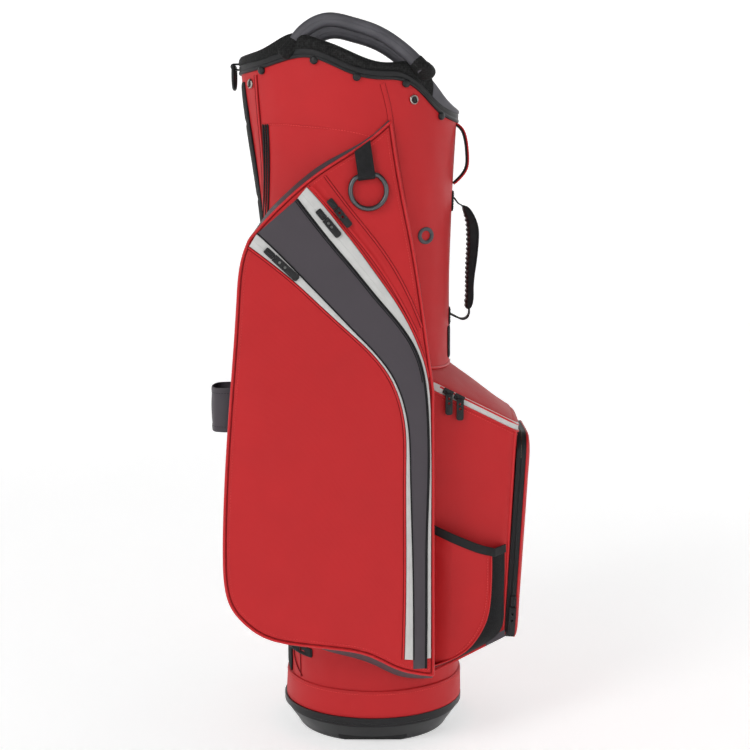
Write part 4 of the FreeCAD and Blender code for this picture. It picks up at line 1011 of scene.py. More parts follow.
def make_face_trim():
    """Grey band, silver zip tapes, the red upper zip and their edgings."""
    band_profile = ((0.0, 0.2), (0.02, 0.8), (0.08, 1.1), (0.5, 1.4), (0.92, 1.1), (0.98, 0.8), (1.0, 0.2))
    band = tape([*LOWER_ZIP_RIGHT, (50, 121)], BAND_RIGHT, on_face, band_profile, 200)
    tape_left = [*BAND_RIGHT[:-1], (65.6, 134)]
    edges = [face_cord(beside(LOWER_ZIP_RIGHT, 0.6), 0.95, 0.9, BLACK_CLOTH),
             face_cord(beside(BAND_RIGHT, 0.0), 1.6, 0.9, BLACK_CLOTH),
             face_cord(beside(BAND_RIGHT, -3.0, 470), 0.6, 1.1, BLACK_CLOTH)]
    on_both_sides("curved_band_{}", [(band, GREY), *edges], ["pocket_band_{}"])
    recess = ((0.0, 1.3), (0.06, 1.5), (0.14, 0.4), (0.42, 0.15), (0.5, 0.5), (0.58, 0.15), (0.9, 0.4),
              (1.0, 0.3))
    parts = [
        (tape(LOWER_ZIP_LEFT, LOWER_ZIP_RIGHT, on_face), SILVER),
        (tape(tape_left, MIDDLE_ZIP_RIGHT, on_face), SILVER),
        (tape(UPPER_FLAP_LEFT, UPPER_FLAP_RIGHT, on_face, recess), RED),
        face_cord(beside(LOWER_ZIP_LEFT, -1.7), 1.3, 0.3, RED_TRIM_WITH_HIGHLIGHT),
        # The dark red cords beside the pipings and the flap edges are painted shade in their creases.
        face_cord(beside(LOWER_ZIP_LEFT, -3.3), 0.45, 0.25, RED_CREASE_SHADE),
        face_cord(beside(LOWER_ZIP_LEFT, -0.3), 0.4, 0.8, RED_CREASE_SHADE),
        face_cord(beside(MIDDLE_ZIP_RIGHT, 1.5, 478), 1.3, 0.3, RED_TRIM_WITH_HIGHLIGHT),
        face_cord(beside(MIDDLE_ZIP_RIGHT, 3.1, 500), 0.45, 0.25, RED_CREASE_SHADE),
        face_cord(beside(MIDDLE_ZIP_RIGHT, 0.3), 0.4, 0.8, RED_CREASE_SHADE),
    ]
    for line, side in ((UPPER_FLAP_LEFT, -1), (UPPER_FLAP_RIGHT, 1)):
        parts.append(face_cord(beside(line, 0.6 * side), 1.2, 0.5, RED_TRIM_WITH_HIGHLIGHT))
        parts.append(face_cord(beside(line, -0.9 * side), 0.45, 0.7, RED_CREASE_SHADE))
        parts.append(face_cord(beside(line, 2.0 * side), 0.45, 0.25, RED_CREASE_SHADE))
    on_both_sides("face_zip_tapes_{}", parts, ["pocket_zips_{}"])


def slider_shape(origin, along, out):
    """Zip slider: a waisted plate, two flanks and an arched bridge."""
    along, out = unit(along), unit(out)
    across = np.cross(out, along)

    def place(u, v, h):
        return origin + along * u + across * v + out * h

    half, wide = SLIDER_LENGTH / 2 + 0.4, SLIDER_WIDTH / 2
    outline = []
    for a in np.arange(28) * 2 * math.pi / 28:
        u = half * math.copysign(abs(math.cos(a)) ** 0.35, math.cos(a))
        v = wide * math.copysign(abs(math.sin(a)) ** 0.4, math.sin(a)) * (1 - 0.10 * math.sin(a) ** 2)
        outline.append((u, v))
    plate = pad(outline, place, [(0.6, 0.3), (0.0, 0.8), (0.0, 1.9), (0.5, 2.4), (1.6, 2.6)])
    reach = np.linspace(-1, 1, 13)
    arch = np.array([place(4.2 * t, 0, 2.3 + 1.5 * (1 - t ** 4)) for t in reach])
    bridge = sweep(arch, rounded_box(2.6, 1.3, 0.5, 2), out)
    return join([plate, bridge])


def face_axes(name):
    start, end = (np.array([x, FACE[0] + FACE[1] * x + FACE[2] * z, z])
                  for x, z in (ZIP_STARTS[name], ZIP_ENDS[name]))
    return start + FACE_OUT * 1.2, unit(end - start)


def pull_trim(hinge, along, out, length):
    """Wire link, raised ribs and pressed panel of a pull tab whose plate is the CAD's own."""
    along, out = unit(along), unit(out)
    across = np.cross(out, along)
    top = PULL_LIFT + PULL_THICKNESS

    def place(u, v, h):
        return hinge + along * u + across * v + out * h

    turn = np.linspace(-math.pi / 2, math.pi / 2, 15)
    bail = [place(3.0 * math.cos(a) - 0.2, 3.2 * math.sin(a), top + 0.1) for a in turn]
    shapes = [tube(np.array(bail), 0.75, out, steps=8)]
    panel = densify(rounded_box(length * 0.36, PULL_WIDTH - 3.2, 1.2, 3), 1.2)
    middle = length * 0.74
    shapes.append(pad(panel, lambda u, v, h: place(middle + u, v, h),
                      [(0, top - 0.2), (0.0, top + 0.25), (0.5, top + 0.4)]))
    for share in (0.13, 0.35):
        rib = [place(length * share, v, top - 0.05) for v in np.linspace(-3.1, 3.1, 9)]
        shapes.append(tube(np.array(rib), 0.5, out, steps=8, scale=round_ends(9, 2)))
    return join(shapes)


def make_sliders():
    """Every zip slider, and the trim on its pull."""
    for name in ZIP_STARTS:
        origin, along = face_axes(name)
        length = LONG_PULL if name == "lower" else SHORT_PULL
        for side, turn in (("near", lambda s: s), ("far", mirrored)):
            make_slider(f"{name}_slider_{side}", f"{name}_slider_{side}", turn, origin, along, FACE_OUT)
            make_pull(f"{name}_pull_{side}", turn, origin + along * PULL_START, along, FACE_OUT, length)
    along, out = ball_axes()
    origin = np.array([BALL_ZIP_LOW[0], BALL_ZIP_Y, BALL_ZIP_LOW[1]])
    make_slider("ball_slider", "ball_slider", lambda s: s, origin, along, out)
    make_pull("ball_pull", lambda s: s, origin + along * PULL_START, along, out, LONG_PULL)
    level, out = wall_axes()
    along = unit(level / level[0] + np.array([0, 0, ZIP_LINE[2]]))
    down = np.array([0, 0, -1.0])
    for name, x in LID_SLIDERS.items():
        origin = wall_point(x, zip_height(x) + ZIP_GAP / 2)
        body = "bag" if name == "lid_slider_parked" else name
        make_slider(name, body, lambda s: s, origin, along, out)
        hang = origin + out * (SLIDER_HEIGHT + 0.3) - down * SLIDER_LENGTH / 2
        make_pull(name.replace("slider", "pull"), lambda s: s, hang + down * PULL_START, down, out,
                  SHORT_PULL)


def make_slider(node, body, turn, origin, along, out):
    shape = turn(slider_shape(origin, along, out))
    piece(node + "_casting", body, [(shape, BLACK_PLASTIC)], [node])


def make_pull(node, turn, hinge, along, out, length):
    piece(node + "_trim", node, [(turn(pull_trim(hinge, along, out, length)), PULL)], ())
    soften(node, 0.5, PULL)


def ball_axes():
    along = unit((BALL_ZIP_LOW[0] - BALL_ZIP_HIGH[0], 3.2, BALL_ZIP_LOW[1] - BALL_ZIP_HIGH[1]))
    out = np.array([0, -1.0, 0])
    return along, unit(out - along * (out @ along))


# ---- Rings, tabs and small patches -------------------------------------------------------------------

RING_TILT = math.radians(8)
RING_BAR = (-8, 722)
RING_LIFT, RING_DROP, RING_OUTER, RING_WIRE, RING_TAB = 5, 18, 50, 3, 36


def d_ring(centre, outer, wire, drop, across, up):
    """Ring with a straight bar over its top: one closed wire."""
    radius = outer / 2 - wire
    half = math.sqrt(radius ** 2 - drop ** 2)
    first = math.atan2(drop, half)
    arc = np.linspace(math.pi - first, 2 * math.pi + first, 90)
    ring = centre + radius * (np.cos(arc)[:, None] * across + np.sin(arc)[:, None] * up)
    bar = ring[-1] + np.linspace(0, 1, 24)[1:-1, None] * (ring[0] - ring[-1])
    path = resample(np.vstack([ring, bar]), 1.5, closed=True)
    for _ in range(6):
        path = (np.roll(path, 1, 0) + 2 * path + np.roll(path, -1, 0)) / 4
    return tube(path, wire, np.cross(across, up), closed=True, steps=16)


def make_towel_ring():
    plane = lambda x, z, lift: np.array([x, FACE[0] + FACE[1] * x + FACE[2] * z, z]) + FACE_OUT * lift
    up = unit(plane(-math.sin(RING_TILT), math.cos(RING_TILT), 0) - plane(0, 0, 0))
    across = -unit(np.cross(up, FACE_OUT))
    bar = plane(*RING_BAR, RING_LIFT)
    ring = d_ring(bar - up * RING_DROP, RING_OUTER, RING_WIRE, RING_DROP, across, up)
    piece("towel_ring_metal", "towel_ring", [(ring, GUNMETAL)], ["towel_ring"])
    front = [bar + FACE_OUT * (4.0 - 2.2 * t) + up * RING_TAB * t for t in np.linspace(0.1, 1, 12)]
    wrap = [bar + 4.2 * (math.cos(a) * FACE_OUT - math.sin(a) * up) for a in np.linspace(math.pi, 0, 14)]
    back = [bar - FACE_OUT * 4.2 + up * 4.0 * t for t in (1, 0.5)]
    path = np.array(back + wrap + front)
    strap = sweep(path, rounded_box(21, 1.7, 0.7, 2), np.array(
        [-FACE_OUT] * 2 + [unit(p - bar) for p in wrap] + [FACE_OUT] * len(front)))
    risen, sideways = (strap[0] - bar) @ up, (strap[0] - bar) @ across
    strap[0][:] += np.outer(-0.55 * sideways * smoothstep(10, RING_TAB, risen), up)
    parts = [(strap, WEBBING)]
    for side in (-1, 1):
        line = np.array([bar + FACE_OUT * (4.9 - 2.2 * t) + up * 34 * t + across * (8.2 * side)
                         for t in np.linspace(0.15, 0.96, 12)])
        parts.append((stitches(line, FACE_OUT), BLACK_THREAD))
    box = [bar + FACE_OUT * 4.9 + up * (6 + 6 * t) + across * s for t, s in ((0, -7.5), (0, 7.5))]
    parts.append((stitches(np.array(box), FACE_OUT), BLACK_THREAD))
    piece("towel_ring_webbing", "bag", parts, ["towel_ring_tab"])


def make_strap_ring():
    centre = np.array([-176.0, 0, 858 - 11])
    ring = d_ring(centre, 38, 2.5, 11, np.array([0, 1.0, 0]), np.array([0, 0, 1.0]))
    piece("strap_ring_wire", "strap_ring", [(ring, BLACK_PLASTIC)], ["strap_ring"])
    pivot = np.array([-176.0, 0, 858.0])
    wrap = [pivot + 3.4 * np.array([-math.sin(a), 0, math.cos(a)]) for a in np.linspace(0, math.pi, 12)]
    path = np.array([(-160.5, 0, 861.4), (-168, 0, 861.6), *wrap, (-168, 0, 854.4), (-160.5, 0, 854.6)])
    strap = sweep(path, rounded_box(20, 1.5, 0.6, 2), out_from(path, pivot))
    piece("strap_ring_webbing", "bag", [(strap, WEBBING)], ["strap_ring_tab"])


def out_from(path, pivot):
    away = path - pivot
    away[:, 1] = 0
    ends = np.abs(path[:, 0]) < 175.9
    away[ends, 0] = 0
    return unit(away)


def make_patches():
    point = on_near_body([(65.7, 648)], 0.0)
    out = body_out(point)[0]
    ring = lathe([(6.0, -1.0), (6.1, 1.2), (6.8, 2.1), (8.4, 2.5), (9.9, 2.1), (10.6, 1.2),
                  (10.7, -1.0)], point[0], out, 40)
    level = unit(np.cross(out, (0, 0, 1)))
    stretched = ring[0] + np.outer((ring[0] - point[0]) @ level, level) * 0.25
    piece("moulded_ring_patch", "bag", [((stretched, ring[1]), GREY_RUBBER)], ["ring_patch"])

    def on_front(y, z, lift):
        half_y = section(z)[2]
        return on_body(np.array(math.asin(y / half_y)), np.array(float(z)), lift)

    outline = [(u, 508.5 + v) for u, v in rounded_box(48, 41, 5, 5)]
    steps = [(0.0, -0.3), (0.0, 1.0), (0.6, 1.6), (2.5, 1.7), (3.2, 1.3), (4.0, 1.3), (4.6, 1.9),
             (9, 1.9), (14, 1.9), (19, 1.9)]
    patch = pad(densify(outline, 3), on_front, steps)
    edge = [on_front(u, v, 1.6)
            for u, v in densify([(u, 508.5 + v) for u, v in rounded_box(42, 35, 3, 3)], 3)]
    parts = [(patch, BLACK_CLOTH), (stitches(np.array(edge), (1, 0, 0)), BLACK_THREAD)]
    piece("glove_patch_hook_tape", "bag", parts, ["glove_patch"])


def densify(outline, step):
    return resample(np.array(outline, float), step, closed=True)


def make_lower_tabs():
    def place(u, v, h):
        z = 112 + v
        x = -92 + u
        return on_near_body([(x, z)], h)[0]

    outline = densify(rounded_box(30, 12, 2, 3), 2)
    shape = pad(outline, place, [(0, -0.2), (0, 1.6), (0.6, 2.2), (2.5, 2.4)])
    row = np.array([place(u, -3.4, 2.5) for u in np.linspace(-12, 12, 22)])
    parts = [(shape, WEBBING), (stitches(row, (0, -1, 0)), BLACK_THREAD)]
    piece("lower_webbing_tabs", "bag", parts + [(mirrored(s), m) for s, m in parts], ["lower_tabs"])


def make_upper_zips():
    """Upright zip beside the spine on each side: two folded lips and a coil between them."""
    left = spline([(-136, 785), (-135.5, 730), (-139, 669)], 60)
    right = spline([(-128, 785), (-127.5, 730), (-130.5, 669)], 60)
    parts = []
    for edge, width in ((0.12, 3.4), (0.88, 3.4)):
        line = left + (right - left) * edge
        path = on_near_body(line, 0.5)
        parts.append((sweep(path, rounded_box(width, 1.8, 0.8, 3), body_out(on_near_body(line))),
                      BLACK_CLOTH))
    middle = on_near_body((left + right) / 2, 0.5)
    bumps = 1 + 0.22 * np.sin(np.arange(240) * 1.6)
    parts.append((tube(resample_count(middle, 240), 1.2, body_out(resample_count(middle, 240)), steps=8,
                       scale=bumps),
                  BLACK_TAPE))
    parts += [(mirrored(s), m) for s, m in parts]
    piece("upright_side_zips", "bag", parts, ["upper_side_zips"])


def make_umbrella_sleeve():
    """Open sleeve of grey fabric behind the near pocket, with turned hems."""
    low, high = 406.0, 461.0
    plan = [(-172, -111), (-186, -112), (-196, -107), (-200.5, -97), (-200.5, -68), (-196, -57),
            (-186, -52), (-172, -53)]
    path = resample(spline(plan, 120), 2.0)
    run = unit(np.gradient(path, axis=0))
    away = np.stack([run[:, 1], -run[:, 0]], 1)
    away *= np.sign((away * (path - np.array([-180.0, -82.0]))).sum(1))[:, None]
    rows_out, rows_in = [], []
    for t in np.linspace(0, 1, 26):
        z = low + (high - low) * t
        swell = -1.2 + 1.4 * math.sin(math.pi * t) + 0.8 * (t < 0.12 or t > 0.88)
        crease = 0.5 * np.sin(np.arange(len(path)) / 4.1 + t * 3)
        lean = np.array([0.0, 1.5 * t])
        for rows, lift in ((rows_out, swell + crease * 0.5), (rows_in, swell + crease * 0.5 - 1.4)):
            spot = path + away * np.reshape(lift, (-1, 1)) + lean
            rows.append(np.column_stack([spot, np.full(len(path), z)]))
    shell = sheet_solid(np.array(rows_out), np.array(rows_in))
    hems = [stitches(np.array(rows_out[k]) + np.column_stack([away * 0.2, np.zeros(len(path))]),
                     np.column_stack([away, np.zeros(len(path))])) for k in (3, 22)]
    piece("umbrella_sleeve_fabric", "bag", [(shell, GREY), (join(hems), BLACK_THREAD)], ["umbrella_sleeve"])


# ---- Front of the bag ------------------------------------------------------------------------------


def zip_height(x):
    start, height, slope = ZIP_LINE
    return height + slope * (x - start)


def floor_height(x):
    return 58 + 0.4517 * x


def front_x(z):
    share = (z - FRONT_LOW[0]) / (FRONT_HIGH[0] - FRONT_LOW[0])
    return FRONT_LOW[1] + (FRONT_HIGH[1] - FRONT_LOW[1]) * share


def wall_axes():
    """Level direction along the near wall of the front pocket, and its outward normal."""
    run = np.array([187 - FRONT_CORNER_RADIUS - FRONT_JOIN[0], FRONT_JOIN[1] - FRONT_CORNER_Y], float)
    angle = math.atan2(run[1], run[0])
    return np.array([math.cos(angle), math.sin(angle), 0]), np.array([math.sin(angle), -math.cos(angle), 0])


def wall_point(x, z):
    level, out = wall_axes()
    return np.array([FRONT_JOIN[0], -FRONT_JOIN[1], z]) + level * ((x - FRONT_JOIN[0]) / level[0]) + out * 0.6


def near_plan(z, lift=0.0, back=62.0):
    """Near half of the plan and all of the front, at height z: side run, corner arc, then front."""
    front = front_x(z) + lift
    radius = FRONT_CORNER_RADIUS
    side = FRONT_CORNER_Y + lift
    join_y = FRONT_JOIN[1] + lift
    start = np.array([back, -join_y])
    corner = np.array([front - radius, -side])
    runs = [np.array([start, (FRONT_JOIN[0], -join_y)]), np.array([(FRONT_JOIN[0], -join_y), corner])]
    turn = np.linspace(-math.pi / 2, 0, 9)
    arc = np.stack([front - radius + radius * np.cos(turn), -side + radius + radius * np.sin(turn)], 1)
    return np.vstack([resample(runs[0], 5), resample_count(runs[1], 26)[1:], arc[1:]])


def whole_plan(z, lift=0.0):
    near = near_plan(z, lift)
    flat = np.linspace(near[-1][1], -near[-1][1], 30)[1:-1]
    front = np.stack([np.full(len(flat), near[-1][0]), flat], 1)
    return np.vstack([near, front, (near * (1, -1))[::-1]])


def front_skin(lift, low, high, rows, relief=0.0):
    """Wall of the front pocket between two heights that change with x."""
    base = whole_plan(300.0, lift)
    grid_rows = []
    for t in np.linspace(0, 1, rows):
        row = base.copy()
        for _ in range(3):
            z = low(row[:, 0]) + (high(row[:, 0]) - low(row[:, 0])) * t
            shift = np.interp(z, [85, 500], [FRONT_LOW[1], FRONT_HIGH[1]]) - front_x(300.0)
            share = np.clip((base[:, 0] - FRONT_JOIN[0]) / (base[:, 0].max() - FRONT_JOIN[0]), 0, 1)
            row = np.stack([base[:, 0] + shift * share, base[:, 1]], 1)
        middle = np.sin(math.pi * t) * np.sin(math.pi * np.clip(share * 1.05, 0, 1)) if relief else 0
        swell = relief * middle * (share < 0.97)
        row = row + np.stack([np.zeros(len(row)), np.sign(row[:, 1]) * swell], 1)
        grid_rows.append(np.column_stack([row, z]))
    return np.array(grid_rows)


def make_front_pocket():
    """Open box under the lid, with piping at its corners and a grey floor."""
    low = lambda x: floor_height(np.maximum(x, 60))
    high = lambda x: zip_height(x)
    outer, inner = front_skin(0.0, low, high, 46, 2.4), front_skin(-WALL, low, high, 46, 2.4)
    parts = [(sheet_solid(outer, inner), RED)]
    for z_low, look in ((0.0, GUSSET), (WALL, LINING)):
        edge = front_skin(-1.0, lambda x: low(x) + z_low, high, 2)[0]
        parts.append((floor_panel(edge), look))
    bottom = outer[0].copy()
    bottom[:, 2] += 0.6
    parts.append((tube(bottom, 1.7, (0, 0, 1), steps=8), RED_TRIM_WITH_HIGHLIGHT))
    top = outer[-1].copy()
    top[:, 2] -= 3.6
    parts.append((tube(top + outward(top) * 0.9, 1.4, (0, 0, 1), steps=8), RED_TRIM_WITH_HIGHLIGHT))
    for side in (-1, 1):
        z = np.linspace(low(170.0) + 1, high(184.0) - 1, 60)
        x, y = front_x(z) - FRONT_CORNER_RADIUS * 0.22, np.full(60, side * (FRONT_CORNER_Y - 6.0))
        parts.append((tube(np.column_stack([x, y, z]), 1.8, (side * 0 + 1, 0, 0), steps=8), RED_TRIM_WITH_HIGHLIGHT))
    run = np.linspace(74, 99, 12)
    patch = np.array([on_wall(run, 0.9, floor_height(FRONT_JOIN[0] + run) + rise)
                      for rise in (-0.5, 4.0, 9.0)])
    parts += [(grid(patch), GUSSET), (mirrored(grid(patch)), GUSSET)]
    line = outer[-1][6:60].copy()
    line[:, 2] -= 8.5
    parts.append((stitches(line + outward(line) * 0.25, outward(line)), RED_THREAD))
    piece("front_pocket_fabric", "bag", parts, ["front_pocket"])


def outward(path):
    run = unit(np.gradient(path, axis=0))
    away = np.cross(run, (0, 0, 1.0))
    away[:, 2] = 0
    return unit(away)


def floor_panel(edge):
    """Slanted floor between the near and the far half of an edge that runs round the front."""
    half = len(edge) // 2
    near, far = edge[:half], edge[::-1][:half]
    share = np.linspace(0, 1, 14)[:, None, None]
    return grid(near[None] + (far - near)[None] * share)


def make_lid_zip():
    """Silver zip round three sides of the opening."""
    rows = []
    base = lambda x: zip_height(x) - 2.8
    tape_height = ZIP_GAP + 2.8
    for share, height in TAPE_PROFILE:
        band = front_skin(height * 0.9 - 0.2, *[lambda x: base(x) + tape_height * share] * 2, 1)
        rows.append(band[0][3:-3])
    parts = [(grid(np.array(rows)), SILVER)]
    for share in (0.16, 0.84):
        line = front_skin(0.9, *[lambda x: base(x) + tape_height * share] * 2, 1)[0][3:-3]
        parts.append((stitches(line, outward(line), radius=0.26), SILVER))
    piece("lid_zip_tape", "bag", parts, ["lid_zip"])


def plan_half_width(x, z):
    """Half width of the front pocket's plan at a place along x."""
    front = front_x(z)
    start, corner = FRONT_JOIN[0], front - FRONT_CORNER_RADIUS
    side = FRONT_JOIN[1] + (FRONT_CORNER_Y - FRONT_JOIN[1]) * np.clip((x - start) / (corner - start), 0, 1)
    into = np.clip(x - corner, 0, FRONT_CORNER_RADIUS)
    return side - (FRONT_CORNER_RADIUS - np.sqrt(np.maximum(FRONT_CORNER_RADIUS ** 2 - into ** 2, 0)))


def make_lid():
    """Tented fabric lid from the body down to the front, sewn round its edge."""
    front = front_x(zip_height(184.0) + ZIP_GAP)
    v = np.sin(np.linspace(-1, 1, 61) * math.pi / 2 * 0.999)
    centre, half_x, half_y = section(478.0)
    back = centre + half_x * np.sqrt(1 - np.clip(v * FRONT_JOIN[1] / half_y, -1, 1) ** 2)
    back = np.maximum(back - 1.0, FRONT_JOIN[0] - 6)
    rows_top, rows_low = [], []
    for t in np.linspace(0, 1, 56):
        s = t ** 0.85
        x = back + (front - back) * s
        width = plan_half_width(x, 405.0)
        crown = np.interp(x, [60, 99, 139, 181, 190], [30, 25.5, 15.5, 6, 3])
        edge = (1 - np.abs(v)) * width
        front_gap = front - x
        roll = 1.8 * np.exp(-edge / 3.5) + 1.8 * np.exp(-front_gap / 3.5)
        folds = 0.8 * np.sin(x / 17 + v * 2.4) * (1 - v ** 2) * np.sin(math.pi * s)
        z = zip_height(x) + ZIP_GAP + 0.3 + crown * (1 - np.abs(v) ** (1.3 + 0.7 * s)) + folds
        rows_top.append(np.column_stack([x, v * width, z - roll]))
        rows_low.append(np.column_stack([x, v * width * 0.985, z - 3.4 + 0.75 * roll]))
    top = np.array(rows_top)
    parts = [(sheet_solid(top, np.array(rows_low)), RED)]
    rim = np.vstack([top[6:, 0], top[-1, 1:-1], top[6:, -1][::-1]])
    rim[:, 2] -= 0.6
    parts.append((tube(resample(rim, 3), 1.5, (0, 0, 1), steps=8), RED_TRIM_WITH_HIGHLIGHT))
    inner = np.vstack([top[6:-4, 4], top[-4, 5:-5], top[6:-4, -5][::-1]])
    inner[:, 2] += 0.35
    parts.append((stitches(resample(inner, 3), (0, 0, 1)), RED_THREAD))
    lid = piece("lid_fabric", None, parts, ["front_lid", "lid_hinge_strip"])
    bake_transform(lid)
    seam = top[0].copy()
    seam[:, 0] += 1.6
    seam[:, 2] += 0.9
    piece("lid_body_piping", "bag", [(tube(seam, 1.6, (1, 0, 0.3), steps=8), RED_TRIM_WITH_HIGHLIGHT)], ())


def ball_place(y, z, depth):
    """Point at a depth behind the ball pocket's leaning front."""
    share = (z - BALL_LOW[0]) / (BALL_HIGH[0] - BALL_LOW[0])
    x = BALL_LOW[1] + (BALL_HIGH[1] - BALL_LOW[1]) * share
    return np.array([x - depth, y, z + depth * 0.054])


def ball_outline(grow):
    """Outline of the ball pocket in (y, z), a little wider at its top."""
    tall = BALL_HIGH[0] - BALL_LOW[0] + 2 * grow
    outline = np.array(rounded_box(2 * BALL_LOW[2] + 2 * grow, tall, BALL_TOP_RADIUS + grow, 9,
                                   low=12 + grow))
    outline[:, 0] *= 1 + (BALL_HIGH[2] / BALL_LOW[2] - 1) * (outline[:, 1] / tall + 0.5)
    outline[:, 1] += (BALL_LOW[0] + BALL_HIGH[0]) / 2
    return outline


def make_ball_pocket():
    """Crowned red front panel, its piping, and the black zip gusset behind it."""
    middle = (BALL_LOW[0] + BALL_HIGH[0]) / 2

    def spine(p):
        return (0.0, min(max(p[1], middle - 70), middle + 70))

    outline = densify(ball_outline(0.0), 4)
    steps = [(1.2, 4.2), (0.0, 3.6), (0.0, 2.2), (0.9, 1.1), (3.5, 0.2), (9, -0.8), (20, -1.9),
             (36, -2.6), (60, -2.9)]
    panel = pad(outline, ball_place, steps, spine)
    ring = np.array([ball_place(y, z, 3.2) for y, z in densify(ball_outline(0.4), 3)])
    seam = np.array([ball_place(y, z, 0.05) for y, z in inset_ring(outline, 5.5)])
    parts = [(panel, RED), (tube(ring, 1.5, (1, 0, 0), closed=True, steps=8), RED_TRIM_WITH_HIGHLIGHT),
             (stitches(seam, (1, 0, 0)), RED_THREAD)]
    piece("ball_pocket_panel", "bag", parts, ["ball_pocket"])
    profile = ((4.4, 0.2), (5.0, 1.3), (9.0, 1.5), (10.2, 1.7), (10.6, 1.0), (11.2, 1.0), (11.6, 1.7),
               (13, 1.5),
               (16.5, 1.3), (17.5, 0.0))
    rows = []
    for depth, grow in profile:
        outline = np.vstack([ball_outline(grow), ball_outline(grow)[:1]])
        rows.append([ball_place(y, z, depth) for y, z in resample_count(outline, 180)[:-1]])
    parts = [(grid(np.array(rows), wrap_columns=True), BLACK_TAPE)]
    chain = np.array([ball_place(y, z, 10.9) for y, z in ball_outline(1.5) if z > BALL_LOW[0] + 30])
    start = int(np.argmax(np.linalg.norm(np.diff(chain, axis=0), axis=1))) + 1
    chain = np.roll(chain, -start, 0)
    outward_of_chain = unit(chain - chain.mean(0)) * (0, 1, 1)
    parts.append((stitches(chain, outward_of_chain, pitch=2.0, length=1.2, radius=0.75), TEETH))
    piece("ball_zip_gusset", "bag", parts, ["ball_zip"])


def inset_ring(outline, inset):
    middle = outline.mean(0)
    away = outline - middle
    size = np.abs(away).max(0)
    return middle + away * (1 - inset / size)


def on_wall(a, depth, z):
    """Point beside the near wall of the front pocket: a runs along it from the join."""
    level, out = wall_axes()
    base = np.array([FRONT_JOIN[0], -FRONT_JOIN[1], 0.0])
    a, depth, z = np.broadcast_arrays(np.asarray(a, float), depth, z)
    return base + a[..., None] * level + np.asarray(depth)[..., None] * out + np.stack([0 * a, 0 * a, z], -1)


def make_bottle_pocket():
    """Red face panel, black mesh gusset and elastic hem of the open bottle pocket."""
    face_edge = spline([(75.5, 250), (75.8, 222), (74.5, 190), (70, 164), (61, 145), (44, 125),
                        (18, 112), (-9, 104)], 80)
    back_edge = spline([(97.5, 252), (98, 220), (97.5, 178), (93, 143), (74, 127), (40, 112), (14, 102),
                        (-9, 94)], 80)

    start, run, steps = -9, 84.5, 44

    def top_z(a):
        """Height of the hem: it falls from the side pocket and levels out near the corner."""
        fall = 38 - 0.47 * (np.asarray(a) - start)
        return 254 + 4 * np.log1p(np.exp(fall / 4))

    def stand(s):
        """How far the face stands off the wall."""
        return 10 + 9.0 * smoothstep(0, 0.4, s)

    rows = []
    for t in np.linspace(0, 1, steps):
        row = []
        for s in np.linspace(0, 1, steps):
            a = start + run * s
            bottom = np.interp(a, face_edge[::-1, 0][:-12], face_edge[::-1, 1][:-12])
            z = bottom + (top_z(a) - bottom) * t
            edge = min((1 - s) * run, (z - bottom) * 1.2)
            bulge = 3.5 * math.sin(math.pi * min(s * 1.1, 1)) * t ** 1.5
            fan = math.atan2(292 - z, a + 14)
            pucker = 0.9 * math.sin(fan * 13) * math.exp(-math.hypot(a + 9, z - 292) / 38)
            depth = stand(s) - 1.6 * math.exp(-edge / 3.0) + bulge + pucker
            row.append(on_wall(a, depth, z))
        rows.append(row)
    face = np.array(rows).reshape(steps, steps, 3)
    out = wall_axes()[1]
    parts = [(sheet_solid(face, face - out * 1.6), RED)]
    rim = on_wall(face_edge[:, 0], 18.2, face_edge[:, 1])
    parts.append((tube(rim, 1.2, out, steps=8), RED_TRIM_WITH_HIGHLIGHT))
    parts.append((stitches(on_wall(face_edge[4:60, 0] - 5, 19.8, face_edge[4:60, 1] + 2), out), RED_THREAD))
    piece("bottle_pocket_face", "bag", parts, ["bottle_pocket"])
    rows = []
    for t in np.linspace(0, 1, 16):
        line = face_edge + (back_edge - face_edge) * t
        depth = 18.0 * (1 - t) ** 0.85 + 0.8 + 2.0 * math.sin(math.pi * t)
        rows.append(on_wall(line[:, 0], depth, line[:, 1]))
    net = np.array(rows)
    piece("bottle_mesh_gusset", "bag", [(sheet_solid(net, net - out * 0.8), BOTTLE_KNIT)], ["bottle_mesh"])
    a = np.linspace(-9, 75, 50)
    s = (a - start) / run
    depth = stand(s) + 3.5 * np.sin(math.pi * np.minimum(s * 1.1, 1)) + 0.5
    top = on_wall(a, depth, top_z(a) - 4.0)
    over = on_wall(np.linspace(79, 98, 10), np.linspace(18.5, 2.2, 10) + 0.5, np.linspace(250.5, 251.5, 10))
    band = sweep(resample(np.vstack([top, over]), 2.5), rounded_box(2.2, 11, 1.0, 3), (0, 0, 1))
    piece("bottle_hem_elastic", "bag", [(band, HEM)], ["bottle_hem"])


# ---- Carry pieces on the front -------------------------------------------------------------------------


def make_lift_loop():
    """Loop of red fabric over black lining, under the front of the rim."""
    path = spline([(105.5, 787), (113, 781), (118.5, 768), (121, 748), (119.5, 730), (112, 719),
                   (103.5, 711)], 60)
    points = np.column_stack([path[:, 0], np.zeros(60), path[:, 1]])
    run = unit(np.gradient(points, axis=0))
    away = np.cross(np.array([0, 1.0, 0]), run)
    away *= np.sign(away[:, :1] + 1e-9)
    outer = sweep(points + away * 0.9, rounded_box(26, 1.7, 0.7, 3), away)
    inner = sweep(points - away * 0.9, rounded_box(24.5, 1.7, 0.7, 3), away)
    thread = [stitches(points[3:-3] + away[3:-3] * 1.8 + np.array([0, y, 0]), away[3:-3][0])
              for y in (-10, 10)]
    parts = [(outer, RED), (inner, BLACK_CLOTH), (join(thread), RED_THREAD)]
    piece("lift_loop_fabric", "bag", parts, ["lift_loop"])


